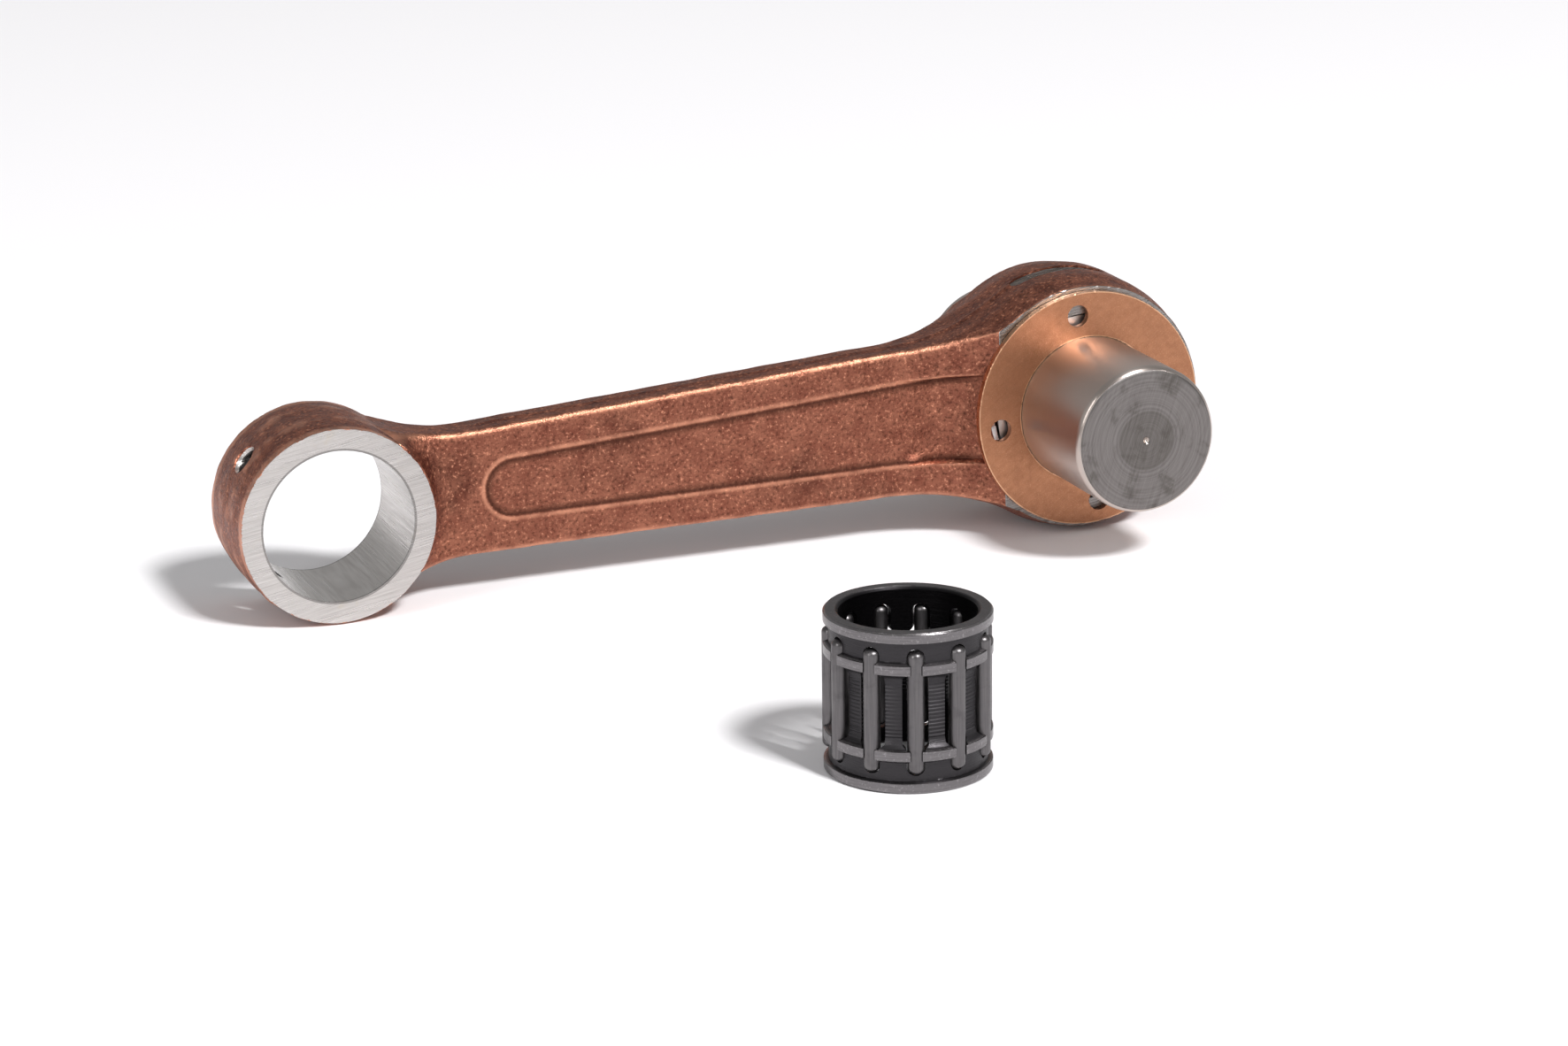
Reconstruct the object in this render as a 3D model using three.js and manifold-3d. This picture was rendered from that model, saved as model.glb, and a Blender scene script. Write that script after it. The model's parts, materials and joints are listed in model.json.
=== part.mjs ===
// A two-stroke connecting rod with its crankpin set, and its small-end needle bearing standing beside it.
//
// Millimetres, +Z up. X runs along the rod from the small end to the big end, Y along both bores (the
// front is -Y). The rod stands on its two round ends, so it rises towards the big end. The origin is the
// middle of the whole set's box, on the surface that it stands on.

import * as THREE from "three";
import { mergeVertices } from "three/addons/utils/BufferGeometryUtils.js";
import Module from "manifold-3d";

// ---- Driving dimensions -------------------------------------------------------------------------------

// Rod
const CENTRE_DISTANCE = 105;
const SHANK_THICKNESS = 5.8;
const SHANK_HEIGHT_SMALL = 15.6; // height of the shank where its taper starts, over the small end's centre
const SHANK_HEIGHT_BIG = 21.8; // and where it would reach the big end's centre
const SMALL_NECK_RADIUS = 28; // side view: the shank runs into the small eye on this radius
const BIG_NECK_RADIUS = 28; // and into the big eye on this one

// Small eye
const SMALL_WALL = 3.1;
const SMALL_WIDTH = 15.4;
const SMALL_EDGE = 0.25; // the plated edge round each machined face
const SMALL_SKIRT_RADIUS = 4; // plan view: the small eye runs into the shank on this radius
const SMALL_OIL_HOLE_DIAMETER = 3.4;
const SMALL_OIL_HOLE_ANGLES = [139, -139]; // degrees from +X, in the side view

// Big eye
const BIG_WALL = 4.6;
const BIG_WIDTH = 16;
const BIG_CROWN_DROP = 0.8; // the outside falls this much from its crown to each thrust face
const BIG_CROWN_LAND = 9; // width of the outside's level middle
const BIG_FLARE_RADIUS = 26; // plan view: the shank widens to the thrust faces on this radius
const BIG_FACE_FLAT = 12.2; // the thrust faces end on a straight line, this far from the bore's centre
const BIG_OIL_SLOT_WIDTH = 2.6;
const BIG_OIL_SLOT_LENGTH = 14;

// Recess in each side of the shank
const RECESS_DEPTH = 1;
const RECESS_FLANGE = 4.5; // height of the flange left above and below it
const RECESS_GAP = 8; // from the small eye's outside to the recess

// Crankpin, its roller bearing and its thrust washers
const CRANKPIN_DIAMETER = 20;
const CRANKPIN_LENGTH = 51;
const CRANKPIN_SHIFT = -1.4; // the pin is pushed this far towards the front
const CRANKPIN_CHAMFER = 0.7;
const ROLLER_DIAMETER = 3;
const ROLLER_LENGTH = 11;
const ROLLER_COUNT = 14;
const BIG_CAGE_LENGTH = 15;
const BIG_CAGE_RADIAL_PLAY = 0.25; // between the cage and the pin, and between the cage and the bore
const WASHER_DIAMETER = 32.4;
const WASHER_THICKNESS = 1;
const WASHER_HOLE_DIAMETER = 3;
const WASHER_HOLE_COUNT = 4;
const WASHER_HOLE_TURN = 5; // degrees by which the first hole is above +X
const THRUST_PLAY = 0.1; // between each washer and the rod

// Small-end needle bearing
const GUDGEON_PIN_DIAMETER = 16;
const NEEDLE_DIAMETER = 2;
const NEEDLE_LENGTH = 14.8;
const NEEDLE_COUNT = 11;
const NEEDLE_TURN = 17.6; // degrees from the front to the first needle, towards the small end
const CAGE_HEIGHT = 19.3;
const CAGE_BORE_PLAY = 0.1; // the cage clears the gudgeon pin by this much
const CAGE_RIM_DROP = 0.15; // the rims lie this far inside the needles' outer circle
const CAGE_RIM_HEIGHT = 1.3;
const CAGE_NECK_DEPTH = 0.6; // the neck beside each rim is this much smaller in radius
const CAGE_LUG_PLACE = 4.6; // from each end of the cage to the middle of the raised lugs
const CAGE_LUG_HEIGHT = 0.9;
const CAGE_WEB_DEPTH = 1.05; // the bars between the lugs are this much smaller in radius
const BEARING_X = 45.7; // where the bearing stands, from the small end's centre
const BEARING_Y = -85.4;

// Fits
const RUNNING_CLEARANCE = 0.03; // radial, taken off each shaft and added to each bore
const END_PLAY = 0.15; // at each end of a roller or needle

// Fineness of the round shapes
const EYE_SEGMENTS = 64;
const SHAFT_SEGMENTS = 48;
const ROLLER_SEGMENTS = 16;
const NEEDLE_SEGMENTS = 12;
const CAGE_SEGMENTS = 44;
const HOLE_SEGMENTS = 16;
const ARC_STEPS = 6;
const JOIN_DEPTH = 0.06; // a surface that runs out into another ends this far under it

// ---- Sizes that follow --------------------------------------------------------------------------------

const crankpinRadius = CRANKPIN_DIAMETER / 2;
const rollerRadius = ROLLER_DIAMETER / 2;
const rollerCircle = crankpinRadius + rollerRadius;
const bigBoreRadius = crankpinRadius + ROLLER_DIAMETER;
const bigOuterRadius = bigBoreRadius + BIG_WALL;
const bigHalfWidth = BIG_WIDTH / 2;

const needleRadius = NEEDLE_DIAMETER / 2;
const needleCircle = GUDGEON_PIN_DIAMETER / 2 + needleRadius;
const needleTurn = NEEDLE_TURN + 90;
const cageRimRadius = needleCircle + needleRadius - CAGE_RIM_DROP;
const smallBoreRadius = GUDGEON_PIN_DIAMETER / 2 + NEEDLE_DIAMETER + RUNNING_CLEARANCE;
const smallOuterRadius = smallBoreRadius + SMALL_WALL;
const smallHalfWidth = SMALL_WIDTH / 2;

const shankHalfThickness = SHANK_THICKNESS / 2;
const pitch = Math.asin((bigOuterRadius - smallOuterRadius) / CENTRE_DISTANCE);
const degrees = Math.PI / 180;

// ---- Solids -------------------------------------------------------------------------------------------

const wasm = await Module();
wasm.setup();

/** A manifold solid from a closed three.js geometry. */
function solid(geometry) {
  const bare = geometry.clone();
  bare.deleteAttribute("normal");
  bare.deleteAttribute("uv");
  const merged = mergeVertices(bare, 1e-5);
  const mesh = new wasm.Mesh({
    numProp: 3,
    vertProperties: new Float32Array(merged.attributes.position.array),
    triVerts: new Uint32Array(merged.index.array),
  });
  return new wasm.Manifold(mesh);
}

/** A three.js geometry from a manifold solid. */
function geometryOf(body) {
  const mesh = body.getMesh();
  const geometry = new THREE.BufferGeometry();
  geometry.setAttribute("position", new THREE.BufferAttribute(new Float32Array(mesh.vertProperties), 3));
  geometry.setIndex(new THREE.BufferAttribute(new Uint32Array(mesh.triVerts), 1));
  geometry.computeVertexNormals();
  return geometry;
}

/** The radius to draw a hole's corners on, so that its flats clear the radius asked for. */
function holeRadius(radius, segments) {
  return radius / Math.cos(Math.PI / segments);
}

/** A solid turned about the Y axis from a closed profile of [radius, y] points, listed anticlockwise. */
function turned(profile, segments) {
  const points = profile.map(([radius, y]) => new THREE.Vector2(radius, y));
  return new THREE.LatheGeometry([...points, points[0]], segments);
}

/** A round bar along Y with its corners on the radius, centred on the XZ plane. */
function bar(radius, length, segments) {
  return new THREE.CylinderGeometry(radius, radius, length, segments);
}

/** An outline carried to a depth that is centred on its own plane. */
function extrusion(shape, depth) {
  const geometry = new THREE.ExtrudeGeometry(shape, { depth, bevelEnabled: false, curveSegments: ARC_STEPS });
  geometry.translate(0, 0, -depth / 2);
  return geometry;
}

/** A side-view outline in X and Z, carried along Y over a width centred on the XZ plane. */
function sideExtrusion(shape, width) {
  const geometry = extrusion(shape, width);
  geometry.rotateX(Math.PI / 2);
  return geometry;
}

/** A plan-view outline in X and Y, carried along Z over a height centred on the XY plane. */
function planExtrusion(shape, height) {
  return extrusion(shape, height);
}

/** Points along an arc about a centre, both ends included. Angles are in radians. */
function arc(centreX, centreY, radius, from, to, steps) {
  const points = [];
  for (let i = 0; i <= steps; i += 1) {
    const angle = from + ((to - from) * i) / steps;
    points.push(new THREE.Vector2(centreX + radius * Math.cos(angle), centreY + radius * Math.sin(angle)));
  }
  return points;
}

/** The points and their mirror image below the X axis, as one closed outline. */
function mirroredShape(points) {
  const below = points.map((p) => new THREE.Vector2(p.x, -p.y)).reverse();
  return new THREE.Shape([...points, ...below]);
}

// ---- The rod ------------------------------------------------------------------------------------------

/** Half the shank's height at a distance from the small end's centre. */
function shankHalfHeight(x) {
  const start = SHANK_HEIGHT_SMALL / 2;
  return start + ((SHANK_HEIGHT_BIG / 2 - start) * x) / CENTRE_DISTANCE;
}

/** A neck: the circle that touches an eye's outside and the shank's upper edge, and the touching point. */
function neckCircle(eyeX, eyeRadius, neckRadius, towardsBigEnd) {
  const slope = Math.atan2(SHANK_HEIGHT_BIG - SHANK_HEIGHT_SMALL, 2 * CENTRE_DISTANCE);
  const reach = eyeRadius + neckRadius;
  let x = eyeX;
  let z = 0;
  for (let round = 0; round < 30; round += 1) {
    z = shankHalfHeight(x) + neckRadius / Math.cos(slope);
    x = eyeX + towardsBigEnd * Math.sqrt(reach * reach - z * z);
  }
  const share = eyeRadius / reach;
  return { x, z, slope, touchX: eyeX + (x - eyeX) * share };
}

/** The neck that runs a little under the small eye's outside. */
function smallNeck() {
  return neckCircle(0, smallOuterRadius - JOIN_DEPTH, SMALL_NECK_RADIUS, 1);
}

/** The side view of the shank, its necks and the big eye. It starts where the neck meets the small eye. */
function rodOutline() {
  const small = smallNeck();
  const big = neckCircle(CENTRE_DISTANCE, bigOuterRadius, BIG_NECK_RADIUS, -1);
  const smallTouch = Math.atan2(small.z, small.x);
  const bigTouch = Math.atan2(big.z, big.x - CENTRE_DISTANCE);
  const level = small.slope - Math.PI / 2;
  return mirroredShape([
    ...arc(small.x, small.z, SMALL_NECK_RADIUS, smallTouch - Math.PI, level, ARC_STEPS),
    ...arc(big.x, big.z, BIG_NECK_RADIUS, level, bigTouch - Math.PI, ARC_STEPS),
    ...arc(CENTRE_DISTANCE, 0, bigOuterRadius, bigTouch, Math.PI / EYE_SEGMENTS, EYE_SEGMENTS / 3).slice(1),
  ]);
}

/** The plan view's flare from the shank to the big eye's thrust face. */
function flare(inset) {
  const rise = bigHalfWidth - shankHalfThickness;
  const turn = Math.acos(1 - rise / BIG_FLARE_RADIUS);
  const start = CENTRE_DISTANCE - BIG_FACE_FLAT - BIG_FLARE_RADIUS * Math.sin(turn);
  const centreY = shankHalfThickness + BIG_FLARE_RADIUS - inset;
  return arc(start, centreY, BIG_FLARE_RADIUS, -Math.PI / 2, turn - Math.PI / 2, ARC_STEPS);
}

/** The plan view from inside the small eye to the big eye, drawn in by an inset on both faces. */
function planOutline(inset) {
  const right = CENTRE_DISTANCE + bigOuterRadius + 1;
  const upper = [
    new THREE.Vector2(smallNeck().touchX + JOIN_DEPTH, shankHalfThickness - inset),
    ...flare(inset),
    new THREE.Vector2(right, bigHalfWidth - inset),
  ];
  return mirroredShape(upper);
}

/** The small eye before it is bored: a round boss with its machined faces' edges rounded off. */
function smallEye() {
  const profile = [
    [0, -smallHalfWidth],
    [smallOuterRadius - SMALL_EDGE, -smallHalfWidth],
    [smallOuterRadius, -smallHalfWidth + SMALL_EDGE],
    [smallOuterRadius, smallHalfWidth - SMALL_EDGE],
    [smallOuterRadius - SMALL_EDGE, smallHalfWidth],
    [0, smallHalfWidth],
  ];
  return solid(turned(profile, EYE_SEGMENTS));
}

/** The concave skirt by which the small eye runs out into the shank, on the shank's side only. */
function smallSkirt() {
  const centreRadius = smallOuterRadius + SMALL_SKIRT_RADIUS;
  const centreY = shankHalfThickness + SMALL_SKIRT_RADIUS - JOIN_DEPTH;
  const curve = arc(centreRadius, centreY, SMALL_SKIRT_RADIUS, 1.5 * Math.PI, Math.PI, ARC_STEPS / 2);
  const upper = [...curve.map((p) => [p.x - JOIN_DEPTH, p.y]), [0, centreY]];
  const lower = upper.map(([radius, y]) => [radius, -y]).reverse();
  const size = 4 * smallOuterRadius;
  const side = new THREE.BoxGeometry(size, size, size);
  side.translate(size / 2 + smallNeck().touchX + JOIN_DEPTH, 0, 0);
  return solid(turned([...lower, ...upper], EYE_SEGMENTS)).intersect(solid(side));
}

/** The ring outside the big eye's crown, which is taken away to round its outside. */
function bigCrownCutter() {
  const outside = bigOuterRadius + 2;
  const land = BIG_CROWN_LAND / 2;
  const beyond = bigHalfWidth + 1;
  const slope = BIG_CROWN_DROP / (bigHalfWidth - land);
  const lead = 0.2;
  const rings = [1, -1].map((side) => {
    const profile = [
      [bigOuterRadius + lead, side * (land - lead / slope)],
      [outside, side * (land - lead / slope)],
      [outside, side * beyond],
      [bigOuterRadius - slope * (beyond - land), side * beyond],
    ];
    if (side < 0) profile.reverse();
    return solid(turned(profile, EYE_SEGMENTS)).translate([CENTRE_DISTANCE, 0, 0]);
  });
  return rings[0].add(rings[1]);
}

/** The recesses in both sides of the shank, as deep at the flare as along the shank. */
function recessCutter() {
  const end = CENTRE_DISTANCE - BIG_FACE_FLAT - RECESS_DEPTH;
  const start = smallOuterRadius + RECESS_GAP;
  const radius = shankHalfHeight(start) - RECESS_FLANGE;
  const upper = [
    ...arc(start + radius, 0, radius, Math.PI, Math.PI / 2, ARC_STEPS),
    new THREE.Vector2(end, shankHalfHeight(end) - RECESS_FLANGE),
  ];
  const lower = upper.slice(1).map((p) => new THREE.Vector2(p.x, -p.y)).reverse();
  const band = solid(sideExtrusion(new THREE.Shape([...upper, ...lower]), BIG_WIDTH + 2));
  const core = solid(planExtrusion(planOutline(RECESS_DEPTH), 4 * bigOuterRadius));
  return band.subtract(core);
}

/** The oil holes through the small eye's wall. */
function smallOilHoles() {
  const holes = SMALL_OIL_HOLE_ANGLES.map((angle) => {
    const drill = bar(SMALL_OIL_HOLE_DIAMETER / 2, smallOuterRadius + 2, HOLE_SEGMENTS);
    drill.translate(0, (smallOuterRadius + 2) / 2, 0);
    drill.rotateX(Math.PI / 2);
    drill.rotateY(Math.PI / 2 - angle * degrees);
    return solid(drill);
  });
  return holes.reduce((all, hole) => all.add(hole));
}

/** The oil slots through the big eye's wall, above and below. */
function bigOilSlots() {
  const height = 2 * (bigOuterRadius + 1);
  const slot = new THREE.BoxGeometry(BIG_OIL_SLOT_LENGTH, BIG_OIL_SLOT_WIDTH, height);
  return solid(slot.translate(CENTRE_DISTANCE, 0, 0));
}

function rodGeometry() {
  const widest = Math.max(BIG_WIDTH, SMALL_WIDTH) + 2;
  const outline = solid(sideExtrusion(rodOutline(), widest));
  const plan = solid(planExtrusion(planOutline(0), 4 * bigOuterRadius));
  const smallBore = bar(holeRadius(smallBoreRadius, EYE_SEGMENTS), widest, EYE_SEGMENTS);
  const bigBore = bar(holeRadius(bigBoreRadius + RUNNING_CLEARANCE, EYE_SEGMENTS), widest, EYE_SEGMENTS);
  bigBore.translate(CENTRE_DISTANCE, 0, 0);
  const blank = plan.add(smallSkirt()).intersect(outline).add(smallEye());
  const forged = blank.subtract(bigCrownCutter()).subtract(recessCutter());
  const bored = forged.subtract(solid(smallBore)).subtract(solid(bigBore));
  return geometryOf(bored.subtract(smallOilHoles()).subtract(bigOilSlots()));
}

// ---- Crankpin, bearing and washers --------------------------------------------------------------------

/** A round bar along Y with chamfered ends. */
function chamferedBar(radius, length, chamfer, segments) {
  const half = length / 2;
  return turned(
    [
      [0, -half],
      [radius - chamfer, -half],
      [radius, -half + chamfer],
      [radius, half - chamfer],
      [radius - chamfer, half],
      [0, half],
    ],
    segments,
  );
}

/** A ring about Y with windows for its rollers, from a half profile of [radius, y] points. */
function cageGeometry(profile, segments, count, turn, circle, windowSize) {
  const ring = solid(turned(profile, segments));
  const windows = [];
  for (let i = 0; i < count; i += 1) {
    const cutter = new THREE.BoxGeometry(windowSize.depth, windowSize.length, windowSize.width);
    cutter.translate(circle, 0, 0);
    cutter.rotateY(-(turn + (360 * i) / count) * degrees);
    windows.push(solid(cutter));
  }
  return geometryOf(windows.reduce((left, cutter) => left.subtract(cutter), ring));
}

/** The big-end cage: a plain ring with one window for each roller. */
function bigCageGeometry() {
  const half = BIG_CAGE_LENGTH / 2;
  const inner = holeRadius(crankpinRadius + BIG_CAGE_RADIAL_PLAY, CAGE_SEGMENTS);
  const outer = bigBoreRadius - BIG_CAGE_RADIAL_PLAY;
  const profile = [
    [inner, -half],
    [outer, -half],
    [outer, half],
    [inner, half],
  ];
  const windowSize = {
    depth: 2 * ROLLER_DIAMETER,
    length: ROLLER_LENGTH + 2 * END_PLAY,
    width: ROLLER_DIAMETER + 2 * RUNNING_CLEARANCE,
  };
  return cageGeometry(profile, CAGE_SEGMENTS, ROLLER_COUNT, 0, rollerCircle, windowSize);
}

/** A thrust washer with its ring of oil holes. */
function washerGeometry() {
  const inner = holeRadius(crankpinRadius + RUNNING_CLEARANCE, EYE_SEGMENTS);
  const outer = WASHER_DIAMETER / 2;
  const half = WASHER_THICKNESS / 2;
  const profile = [
    [inner, -half],
    [outer, -half],
    [outer, half],
    [inner, half],
  ];
  const holeCircle = (crankpinRadius + outer) / 2;
  let washer = solid(turned(profile, EYE_SEGMENTS));
  for (let i = 0; i < WASHER_HOLE_COUNT; i += 1) {
    const angle = (WASHER_HOLE_TURN + (360 * i) / WASHER_HOLE_COUNT) * degrees;
    const drill = bar(WASHER_HOLE_DIAMETER / 2, 2 * WASHER_THICKNESS, HOLE_SEGMENTS);
    drill.translate(holeCircle * Math.cos(angle), 0, holeCircle * Math.sin(angle));
    washer = washer.subtract(solid(drill));
  }
  return geometryOf(washer);
}

// ---- Small-end needle bearing -------------------------------------------------------------------------

/** The needle cage: two rims, a neck inside each, a row of lugs near each end and lower bars between. */
function needleCageGeometry() {
  const half = CAGE_HEIGHT / 2;
  const inner = holeRadius(GUDGEON_PIN_DIAMETER / 2 + CAGE_BORE_PLAY, CAGE_SEGMENTS);
  const rim = cageRimRadius;
  const neck = rim - CAGE_NECK_DEPTH;
  const web = rim - CAGE_WEB_DEPTH;
  const neckStart = half - CAGE_RIM_HEIGHT;
  const lugOuter = half - CAGE_LUG_PLACE + CAGE_LUG_HEIGHT / 2;
  const lugInner = half - CAGE_LUG_PLACE - CAGE_LUG_HEIGHT / 2;
  const upper = [
    [web, lugInner],
    [rim, lugInner],
    [rim, lugOuter],
    [neck, lugOuter],
    [neck, neckStart],
    [rim, neckStart],
    [rim, half],
    [inner, half],
  ];
  const lower = upper.map(([radius, y]) => [radius, -y]).reverse();
  const windowSize = {
    depth: 4 * NEEDLE_DIAMETER,
    length: NEEDLE_LENGTH + 2 * END_PLAY,
    width: NEEDLE_DIAMETER + 2 * RUNNING_CLEARANCE,
  };
  const profile = [...lower, ...upper];
  return cageGeometry(profile, CAGE_SEGMENTS, NEEDLE_COUNT, needleTurn, needleCircle, windowSize);
}

/** A needle along Y with rounded ends. */
function needleGeometry() {
  const radius = needleRadius - RUNNING_CLEARANCE;
  const straight = NEEDLE_LENGTH / 2 - radius / 2;
  return turned(
    [
      [0, -NEEDLE_LENGTH / 2],
      [radius * 0.7, -NEEDLE_LENGTH / 2 + radius * 0.13],
      [radius, -straight],
      [radius, straight],
      [radius * 0.7, NEEDLE_LENGTH / 2 - radius * 0.13],
      [0, NEEDLE_LENGTH / 2],
    ],
    NEEDLE_SEGMENTS,
  );
}

// ---- The assembly -------------------------------------------------------------------------------------

const copperPlate = { color: 0x8a5138, roughness: 0.55, metalness: 0.85 };
const pinSteel = { color: 0xb9b4ac, roughness: 0.25, metalness: 1 };
const bronze = { color: 0x9a7146, roughness: 0.45, metalness: 0.9 };
const cageSteel = { color: 0x4c4e52, roughness: 0.4, metalness: 0.9 };
const needleSteel = { color: 0x77797c, roughness: 0.25, metalness: 1 };

function named(name, geometry, finish) {
  const mesh = new THREE.Mesh(geometry, new THREE.MeshStandardMaterial(finish));
  mesh.name = name;
  return mesh;
}

/** Copies of a geometry spread on a circle about Y, named with two-digit numbers. */
function ringOf(prefix, geometry, finish, count, turn, circle) {
  const meshes = [];
  for (let i = 0; i < count; i += 1) {
    const angle = (turn + (360 * i) / count) * degrees;
    const mesh = named(`${prefix}_${String(i + 1).padStart(2, "0")}`, geometry.clone(), finish);
    mesh.position.set(circle * Math.cos(angle), 0, circle * Math.sin(angle));
    mesh.rotation.y = -angle;
    meshes.push(mesh);
  }
  return meshes;
}

// The crankpin set, about the big end's centre.
const bigEnd = new THREE.Group();
bigEnd.position.x = CENTRE_DISTANCE;
const pinRadius = crankpinRadius - RUNNING_CLEARANCE;
const pinBar = chamferedBar(pinRadius, CRANKPIN_LENGTH, CRANKPIN_CHAMFER, SHAFT_SEGMENTS);
pinBar.translate(0, CRANKPIN_SHIFT, 0);
bigEnd.add(named("crankpin", pinBar, pinSteel));
bigEnd.add(named("big_end_cage", bigCageGeometry(), cageSteel));
const roller = chamferedBar(rollerRadius - RUNNING_CLEARANCE, ROLLER_LENGTH, 0.2, ROLLER_SEGMENTS);
bigEnd.add(...ringOf("big_end_roller", roller, needleSteel, ROLLER_COUNT, 0, rollerCircle));
const washerPlace = bigHalfWidth + THRUST_PLAY + WASHER_THICKNESS / 2;
for (const [name, side] of [["thrust_washer_front", -1], ["thrust_washer_back", 1]]) {
  const washer = named(name, washerGeometry(), bronze);
  washer.position.y = side * washerPlace;
  bigEnd.add(washer);
}

// The rod with what it carries, standing on its two eyes.
const rodSet = new THREE.Group();
rodSet.add(named("rod", rodGeometry(), copperPlate));
rodSet.add(bigEnd);
rodSet.rotation.y = -pitch;
rodSet.position.z = smallOuterRadius;

// The needle bearing, standing on one rim in front of the rod.
const bearing = new THREE.Group();
bearing.add(named("needle_cage", needleCageGeometry(), cageSteel));
bearing.add(...ringOf("needle", needleGeometry(), needleSteel, NEEDLE_COUNT, needleTurn, needleCircle));
bearing.rotation.x = Math.PI / 2;
bearing.position.set(BEARING_X, BEARING_Y, CAGE_HEIGHT / 2);

// The middle of the whole set's box, on the surface.
const left = -smallOuterRadius;
const right = CENTRE_DISTANCE * Math.cos(pitch) + bigOuterRadius;
const front = BEARING_Y - cageRimRadius;
const back = CRANKPIN_LENGTH / 2 + CRANKPIN_SHIFT;

const set = new THREE.Group();
set.add(rodSet, bearing);
set.position.set(-(left + right) / 2, -(front + back) / 2, 0);

export default set;
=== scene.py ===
"""The looks of a two-stroke connecting rod set: plated forging, crankpin, washers and needle bearing.

Run it as a script. Every size is in metres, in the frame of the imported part.
"""

import json
import math

import bpy
import numpy as np
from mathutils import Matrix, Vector


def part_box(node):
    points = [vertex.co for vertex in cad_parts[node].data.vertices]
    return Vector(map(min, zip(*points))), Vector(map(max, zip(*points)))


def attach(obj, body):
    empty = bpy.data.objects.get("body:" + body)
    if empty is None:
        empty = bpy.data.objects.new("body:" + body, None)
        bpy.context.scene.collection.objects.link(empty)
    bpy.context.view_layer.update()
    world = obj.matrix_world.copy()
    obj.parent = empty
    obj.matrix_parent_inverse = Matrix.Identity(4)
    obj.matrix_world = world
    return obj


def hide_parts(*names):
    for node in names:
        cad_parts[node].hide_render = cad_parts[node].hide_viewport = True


bl_info = {
    "name": "Connecting rod set",
    "version": (1, 0, 0),
    "blender": (4, 5, 0),
    "location": "3D View > Sidebar > Rod Set",
    "description": "Builds the finished surfaces of a connecting rod, its crankpin set and needle bearing",
    "category": "Object",
}

MM = 1000.0
HOLE_TURN = math.radians(139)

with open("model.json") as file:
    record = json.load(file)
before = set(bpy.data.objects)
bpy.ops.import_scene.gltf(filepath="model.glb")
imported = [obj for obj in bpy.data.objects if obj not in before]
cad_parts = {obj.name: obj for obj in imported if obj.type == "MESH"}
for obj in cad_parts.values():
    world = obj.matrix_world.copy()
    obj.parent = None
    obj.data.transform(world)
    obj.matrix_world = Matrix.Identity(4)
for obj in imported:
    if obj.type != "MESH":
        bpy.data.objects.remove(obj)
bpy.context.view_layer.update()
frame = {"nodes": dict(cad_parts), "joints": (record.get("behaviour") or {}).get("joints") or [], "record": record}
joints = {joint["name"]: joint for joint in frame["joints"]}
openings = {opening["name"]: opening for opening in frame["record"]["physics"]["openings"]}


# ---- Where things are ---------------------------------------------------------------------------------


def middle_of(node):
    """The middle of a CAD node's box."""
    low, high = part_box(node)
    return (low + high) / 2


def bore_centres():
    """The middles of the small end's bore and of the big end's bore, and the rise of the rod between them."""
    low, high = (Vector(corner) for corner in openings["small_end_bore"]["box_m"])
    small = (low + high) / 2
    big = Vector(joints["crankpin_turn"]["pos_m"])
    rise = math.atan2(big.z - small.z, big.x - small.x)
    return small, big, rise


SMALL_END, BIG_END, RISE = bore_centres()
CENTRES = (BIG_END - SMALL_END).length * MM
BEARING = middle_of("needle_cage")


def in_rod(points):
    """Points in millimetres from the small bore, with X along the rod, taken to the row's frame in metres.

    The rod's X and Z are turned by its rise, x cos - z sin and x sin + z cos, and moved to the bore's middle.
    """
    x, y, z = np.moveaxis(np.asarray(points, float), -1, 0) / MM
    cosine, sine = math.cos(RISE), math.sin(RISE)
    turned = np.stack([x * cosine - z * sine, y, x * sine + z * cosine], axis=-1)
    return turned + np.array(SMALL_END)


def standing_at(centre):
    """A function that moves points in millimetres about a centre to the row's frame in metres."""
    return lambda points: np.asarray(points, float) / MM + np.array(centre)


# ---- Making meshes ------------------------------------------------------------------------------------


def mesh_piece(name, points, faces, material, body, stands_for=(), sharp=math.radians(32)):
    """A finished piece: its mesh, material, the CAD body it rides on and the nodes it stands for."""
    mesh = bpy.data.meshes.new(name)
    mesh.from_pydata(points, [], faces)
    mesh.validate()
    mesh.shade_smooth()
    mesh.set_sharp_from_angle(angle=sharp)
    piece = bpy.data.objects.new(name, mesh)
    bpy.context.scene.collection.objects.link(piece)
    mesh.materials.append(material)
    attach(piece, body)
    if stands_for:
        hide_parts(*stands_for)
    return piece


def store_mask(piece, name, values):
    """Keeps one number for each vertex, which a material reads by its name."""
    attribute = piece.data.attributes.new(name, "FLOAT", "POINT")
    attribute.data.foreach_set("value", np.asarray(values, np.float32))


def softened(corners, radius, steps=3, closed=True):
    """A profile with its corners rounded off.

    Each corner becomes a quadratic curve from a point one radius before it to a point one radius after it,
    (1-t)^2 a + 2t(1-t) b + t^2 c, or a third of the way along a shorter edge.
    """
    corners = np.asarray(corners, float)
    before = np.roll(corners, 1, axis=0)
    after = np.roll(corners, -1, axis=0)

    def towards(other):
        way = other - corners
        length = np.hypot(*way.T)[:, None]
        return corners + way * np.minimum(radius / length, 0.33)

    t = np.linspace(0, 1, steps + 1)[None, :, None]
    start, end = towards(before)[:, None], towards(after)[:, None]
    curve = (1 - t) ** 2 * start + 2 * t * (1 - t) * corners[:, None] + t**2 * end
    if closed:
        return curve.reshape(-1, 2)
    inner = curve[1:-1].reshape(-1, 2)
    return np.concatenate([corners[:1], inner, corners[-1:]])


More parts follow.
